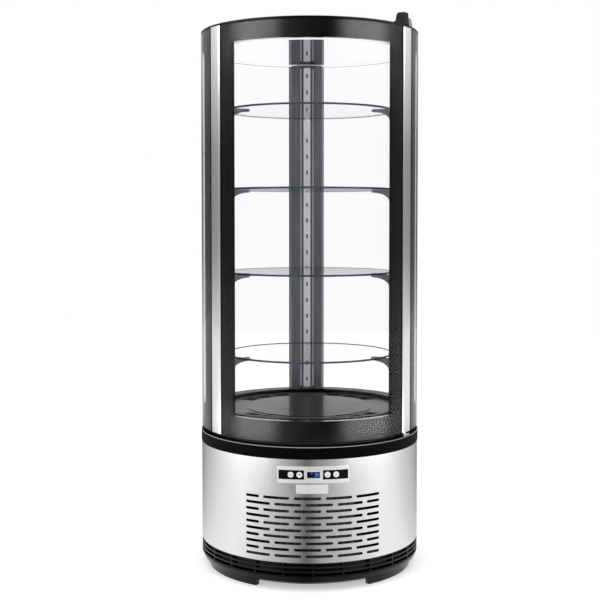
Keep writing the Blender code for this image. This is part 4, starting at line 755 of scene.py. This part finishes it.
def makeRearPost():
    # a folded section: two leaves, two light channels with lips, and a flat back
    half = [(0.3343, 10.2), (0.2885, 10.2), (0.2790, 7.6), (0.2720, 5.9), (0.2712, 5.5), (0.2712, 5.25),
            (0.2780, 5.2), (0.2780, 3.4), (0.2712, 3.35), (0.2712, 2.9), (0.2720, 2.8)]
    radius, angle = np.array(half).T
    outline = np.concatenate([onDrum(radius, 180 - angle, 0), onDrum(radius[::-1], 180 + angle[::-1], 0),
                              onDrum(0.3343, 180 + np.linspace(9, -9, 13), 0)])[:, :2]
    makePiece("rearPost", [upright(outline, windowLow, windowHigh)], "postGrey", ["rear_post"],
              edge=0.0006, sharp=20)
    for word, side in sides:
        span = sorted((180 - side * 4.0, 180 - side * 4.6))
        makePiece("light" + word, [wallRing(0.2742, 0.2772, windowLow + 0.012, windowHigh - 0.012, *span, 0.3)],
                  "ledDiffuser", ["led_strip_" + word.lower()], edge=0.0005)
    r, pane, reach = cabinet["glass"], cabinet["pane"], cabinet["rearHalf"]
    makePiece("rearCover", [wallRing(r - pane, r, glassLow, glassHigh, 180 - reach, 180 + reach, 1.5)],
              "blackMoulded", ["rear_cover_strip"], edge=0.0008)


def makeRoof():
    # a polished ceiling, and a cover plate with a rolled rim
    r, rim, low = cabinet["glass"], 0.2837, windowHigh + 0.0012
    makePiece("ceilingPlate", [turned([(0, low), (rim - 0.0022, low), (rim - 0.002, low), (rim, low + 0.001),
                                       (rim, glassHigh), (0, glassHigh)], step=2.5)],
              "mirrorSteel", ["ceiling_panel"])
    top = levels["cover"]
    makePiece("coverPlate", [turned([(0, levels["glassTop"]), (r, levels["glassTop"]), (r, top - 0.003),
                                     (r - 0.0009, top - 0.0009), (r - 0.003, top), (r - 0.024, top),
                                     (r - 0.030, top - 0.002), (0, top - 0.002)], step=2.0)],
              "blackGloss", ["top_cover"])


makeFrame()
makePanes()
makeShelves()
makeDeck()
makeRails()
makePilaster()
makeRearPost()
makeRoof()
print("cabinet made")


door = {"inner": 0.311, "half": 62.5, "glassHalf": 53.35, "window": 44.85, "lap": 2.4, "bottom": 0.437,
        "top": 1.649, "paneOuter": 0.3220, "crown": 0.0018}


def profileOutline(side):
    # the edge profile's section: a face crowned by a half sine, and a plain back
    start = door["glassHalf"] + 0.055
    share = np.linspace(0, 1, 13)
    angles = start + share * (door["half"] - start)
    crown = door["crown"] * np.minimum(1, 3.2 * np.sin(math.pi * share)) ** 0.8
    front = onDrum(cabinet["glass"] + crown, side * angles, 0)[:, :2]
    back = onDrum(door["inner"], side * angles[::-3], 0)[:, :2]
    return np.concatenate([front, back])


def makeDoor():
    # a curved pane over a dark border, an inner pane, a seal and the two upright metal profiles
    r, pane, half = cabinet["glass"], cabinet["pane"], door["glassHalf"]
    bottom, top = door["bottom"], door["top"]
    makePiece("doorPane", [wallRing(r - pane, r, bottom, top, -half, half, 1.25)], "glassClear",
              ["door_outer_glass"], "door", edge=0.0005)
    outer, inner = (half, bottom, top), (door["window"], windowLow, windowHigh)
    makePiece("doorBorder", [window(outer, inner, 0.3225, 0.3344)], "blackPrint", ["door_frame"], "door")
    lap = door["window"] + door["lap"]
    backing = (lap + 0.05, windowLow - 0.0080, windowHigh + 0.0080)
    makePiece("doorBacking", [window(outer, backing, door["inner"], 0.3224)], "blackMoulded", (), "door")
    makePiece("doorPaneInner", [wallRing(door["paneOuter"] - pane, door["paneOuter"], windowLow - 0.0077,
                                         windowHigh + 0.0077, -lap, lap, 1.25)],
              "glassClear", ["door_inner_glass"], "door", edge=0.0005)
    sealOuter = (58.3, bottom + 0.006, top - 0.006)
    sealInner = (55.0, bottom + 0.028, top - 0.028)
    makePiece("doorSeal", [window(sealOuter, sealInner, 0.2975, 0.3106)], "rubberBlack",
              ["door_gasket"], "door", edge=0.0015)
    for word, side in (("Handle", -1), ("Hinge", 1)):
        makePiece("profile" + word, [upright(profileOutline(side), bottom, top)], "aluminiumSatin",
                  ["door_%s_profile" % word.lower()], "door", edge=0.0005)


hinge = {"angle": 58.5, "radius": 0.328, "cap": 0.036, "floor": 1.6568}


def localBlock(halfX, halfY, tall, shift, power, taper, steps=48):
    # a block on the hinge: a superellipse in plan, carried up and drawn in by taper at its top
    t = ring(steps)
    x = np.sign(np.cos(t)) * np.abs(np.cos(t)) ** (2 / power) * halfX
    y = np.sign(np.sin(t)) * np.abs(np.sin(t)) ** (2 / power) * halfY
    rise = np.array([0, 0, 0.45, 0.8, 0.95, 1, 1])
    size = np.concatenate([[0, 1], 1 - (1 - taper) * np.array([0.3, 0.8, 1.15, 1.6]), [0]])
    x, y = (size * spot[:, None] + move for spot, move in zip((x, y), shift))
    outward, sideways = bearings(hinge["angle"])
    points = (onDrum(hinge["radius"], hinge["angle"], hinge["floor"]) + x[..., None] * sideways
              - y[..., None] * outward + (tall * rise)[:, None] * up)
    return points, gridQuads(steps, len(rise), True, False)


def makeHinge():
    # a stepped cap over the pivot with a base plate, and a rounded end beside it
    tall = hinge["cap"]
    makePiece("hingeCap", [localBlock(0.032, 0.0135, 0.009, (-0.009, 0.0075), 7.0, 0.98),
                           localBlock(0.0215, 0.0165, tall - 0.004, (-0.010, 0.005), 4.5, 0.84),
                           localBlock(0.0185, 0.0155, tall, (-0.009, 0.004), 4.0, 0.90)],
              "rubberBlack", ["upper_hinge_cap"], sharp=50)
    makePiece("hingeEnd", [localBlock(0.0175, 0.009, 0.024, (0.024, 0.001), 3.0, 0.72)],
              "powderGrey", sharp=50)


makeDoor()
makeHinge()
print("door made")


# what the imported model's own pieces are finished in, where they stay as they are
finishOfSlot = {"black_plastic": "blackMoulded", "gloss_black": "blackGloss", "dark_paint": "paintedDark",
                "grey_frame": "postGrey", "stainless": "steelPlain", "aluminium": "aluminiumSatin",
                "white_plastic": "whiteMoulded", "display": "displayDark", "glass": "glassClear",
                # the foam skin takes the dark paint as painted shade, so the recess under the collar and the tub
                # under the deck's slots read dark
                "led": "ledDiffuser", "copper": "copperPipe", "rubber": "rubberBlack", "foam_skin": "paintedDark"}
finishOfNode = {"condenser": "finMetal", "evaporator": "finMetal", "compressor": "blackGloss"}


def dressNodes():
    for part in frame["record"]["subparts"]:
        node = frame["nodes"][part["node"]]
        finish = finishOfNode.get(part["node"], finishOfSlot[part["material_slot"]])
        node.data.materials.clear()
        node.data.materials.append(finishes[finish])


dressNodes()
print("kept nodes dressed")


# half the floor's width, the soft lights' strength, and each lamp's place, size and power
studio = {"floor": 7.0, "lights": 2.4,
          "lamps": {"lampLeft": ((-2.6, -2.4, 2.2), (1.1, 2.4), 31.2),
                    "lampRight": ((2.6, -2.4, 2.2), (1.1, 2.4), 15.6),
                    "lampTop": ((0.0, -0.6, 3.6), (2.4, 2.4), 20.8)}}


# brightness by the angle from the case's front in degrees, positive to the right: an even surround with a
# dark gap in front, and two soft lights in it; once for the floor close by and once for all beyond it
studioNear = {
    "surround": [
        (-180, 0.18), (-160, 0.28), (-147, 0.42), (-134, 0.6), (-117, 0.76), (-100, 0.9), (-71, 0.98), (-58, 0.9),
        (-45.5, 0.74), (-34, 0.58), (-22, 0.44), (-11, 0.26), (-6, 0.12), (-2, 0.14), (6, 0.35), (11.6, 0.42),
        (23, 0.54), (34.6, 0.68), (46.6, 0.81), (59, 0.935), (72, 0.98), (88, 0.94), (102, 0.8), (122, 0.69),
        (134, 0.58), (148, 0.42), (180, 0.18)],
    "lights": [
        (-180, 0), (-116, 0), (-106, 0.15), (-96, 0.45), (-81, 1), (-44, 1), (-38, 0.58), (-30, 0.09), (-24, 0),
        (24, 0), (30.6, 0.3), (36, 0.78), (41, 1), (50, 1), (60, 0.75), (72, 0.5), (85, 0.25), (95, 0.1), (104, 0),
        (180, 0)]}
studioFar = {
    "surround": [
        (-180, 1.15), (-172, 1.15), (-166, 0.34), (-147, 0.52), (-134, 0.78), (-117, 0.88), (-100, 0.97),
        (-71, 0.99), (-58, 0.9), (-45.5, 0.74), (-34, 0.45), (-20, 0.27), (-11, 0.18), (-4, 0.12), (4, 0.07),
        (12, 0.04), (18, 0.06), (25, 0.3), (34.6, 0.6), (46.6, 0.81), (59, 0.935), (72, 0.98), (88, 0.98),
        (102, 0.94), (122, 0.92), (134, 0.8), (148, 0.5), (166, 0.34), (172, 1.15), (180, 1.15)],
    "lights": [
        (-180, 0), (-116, 0), (-106, 0.15), (-96, 0.5), (-81, 1), (-44, 1), (-38, 0.58), (-30, 0.09), (-24, 0),
        (24, 0), (31, 0.3), (38, 0.85), (42, 1), (73, 1), (85.6, 0.5), (95, 0.28), (104, 0.1), (112, 0), (180, 0)]}


def studioShade(board, way, level, lights, studioPart):
    # surround times level plus soft lights times lights, each by the direction's angle from the front
    parts = board.tree.nodes.new("ShaderNodeSeparateXYZ")
    board.feed(parts.inputs[0], way)
    x, y = (Pin(board, parts.outputs[n]) for n in (0, 1))
    share = board.add("Math", {"operation": "ARCTAN2"}, {0: x, 1: y * -1}) * (0.5 / math.pi) + 0.5
    base, glow = (board.add("ValToRGB", {"stops": [(place / 360 + 0.5, (v, v, v)) for place, v in stops]},
                            {"Fac": share}) for stops in (studioPart["surround"], studioPart["lights"]))
    base = board.add("VectorMath", {"operation": "SCALE"}, {0: base, "Scale": level})
    glow = board.add("VectorMath", {"operation": "SCALE"}, {0: glow, "Scale": lights})
    return board.add("VectorMath", {"operation": "ADD"}, {0: base, 1: glow})


def rays(board, *names):
    # what the ray is or has met, one output for each name
    node = board.add("LightPath").socket.node
    return [Pin(board, node.outputs[name]) for name in names]


def makeFloor():
    # a wide sheet: white to the camera and through glass, and the studio's own shades in gloss
    count = 9
    span = np.linspace(-studio["floor"], studio["floor"], count)
    x, y = np.meshgrid(span, span, indexing="ij")
    mesh = bpy.data.meshes.new("floorSheet")
    mesh.from_pydata(np.stack([x, y, 0 * x], -1).reshape(-1, 3).tolist(), [], gridQuads(count, count).tolist())
    floor = bpy.data.objects.new("floorSheet", mesh)
    bpy.context.scene.collection.objects.link(floor)
    makeFinish("floorWhite", {"Roughness": 0.9, "Emission Color": 1.0, "Emission Strength": 0.45,
                              "Specular IOR Level": 0.1},
               lambda board: {"Base Color": board.blend(board.noise(0.6), 0.80, 0.82)})
    board = Board(finishes["floorWhite"].node_tree)
    spot = board.add("TexCoord", output=3)
    reach = board.add("VectorMath", {"operation": "LENGTH"}, {0: spot}, output=1)
    lights = board.span(reach, 2.4, 2.7, 0.0, studio["lights"]) * board.span(reach, 3.0, 3.6, 1.0, 0.0)
    near = studioShade(board, spot, board.span(board.spot(1), -0.4, 1.3, 1.0, 0.74), lights, studioNear)
    far = studioShade(board, spot, 1.0, lights, studioFar)
    shade = board.blend(board.span(reach, 2.3, 2.7), near, far)
    bounced, = rays(board, "Glossy Depth")
    gloss = board.span(bounced, 0, 1)
    lit = board.add("Emission", None, {"Color": shade})
    plain = Pin(board, board.tree.nodes["Principled BSDF"].outputs[0])
    mix = board.add("MixShader", None, {0: gloss, 1: plain, 2: lit})
    board.feed(board.tree.nodes["Material Output"].inputs["Surface"], mix)
    mesh.materials.append(finishes["floorWhite"])


def makeWorld():
    # white to the camera and straight through glass, the studio's shades in gloss, else an even grey
    world = bpy.data.worlds.new("studio")
    bpy.context.scene.world = world
    world.use_nodes = True
    board = Board(world.node_tree)
    way = board.add("TexCoord", output=0)
    z = Pin(board, board.add("SeparateXYZ", None, {0: way}).socket.node.outputs[2])
    level = board.span(z, 0.06, 0.165, 0.31, 1.0).orMore(board.span(z * -1, 0.03, 0.12, 0.31, 0.90))
    lights = board.span(z, 0.115, 0.15, 0.0, studio["lights"]) * board.span(z, 0.45, 0.7, 1.0, 0.0)
    shade = studioShade(board, way, level, lights, studioFar)
    shade = board.blend(board.span(z, 0.55, 0.95), shade, 0.62)
    camera, through, bounced, scattered = rays(board, "Is Camera Ray", "Is Transmission Ray", "Glossy Depth",
                                               "Diffuse Depth")
    straight = through * (1 - board.span(bounced, 0, 1)) * (1 - board.span(scattered, 0, 1))
    plain = board.blend(board.span(bounced, 0, 1), (0.74, 0.74, 0.75), shade)
    background = world.node_tree.nodes["Background"]
    board.feed(background.inputs["Color"], board.blend(camera.orMore(straight), plain, 1.0))


def makeLamp(name, place, size, power):
    # a flat lamp that faces the middle of the case and shows on plain surfaces only
    data = bpy.data.lights.new(name, "AREA")
    data.shape = "RECTANGLE"
    data.size, data.size_y = size
    data.energy = power
    lamp = bpy.data.objects.new(name, data)
    bpy.context.scene.collection.objects.link(lamp)
    lamp.location = place
    lamp.rotation_euler = (Vector((0, 0, 0.9)) - Vector(place)).to_track_quat("-Z", "Y").to_euler()
    lamp.visible_camera = lamp.visible_glossy = lamp.visible_transmission = False


makeFloor()
makeWorld()
for name, settings in studio["lamps"].items():
    makeLamp(name, *settings)
print("studio made")
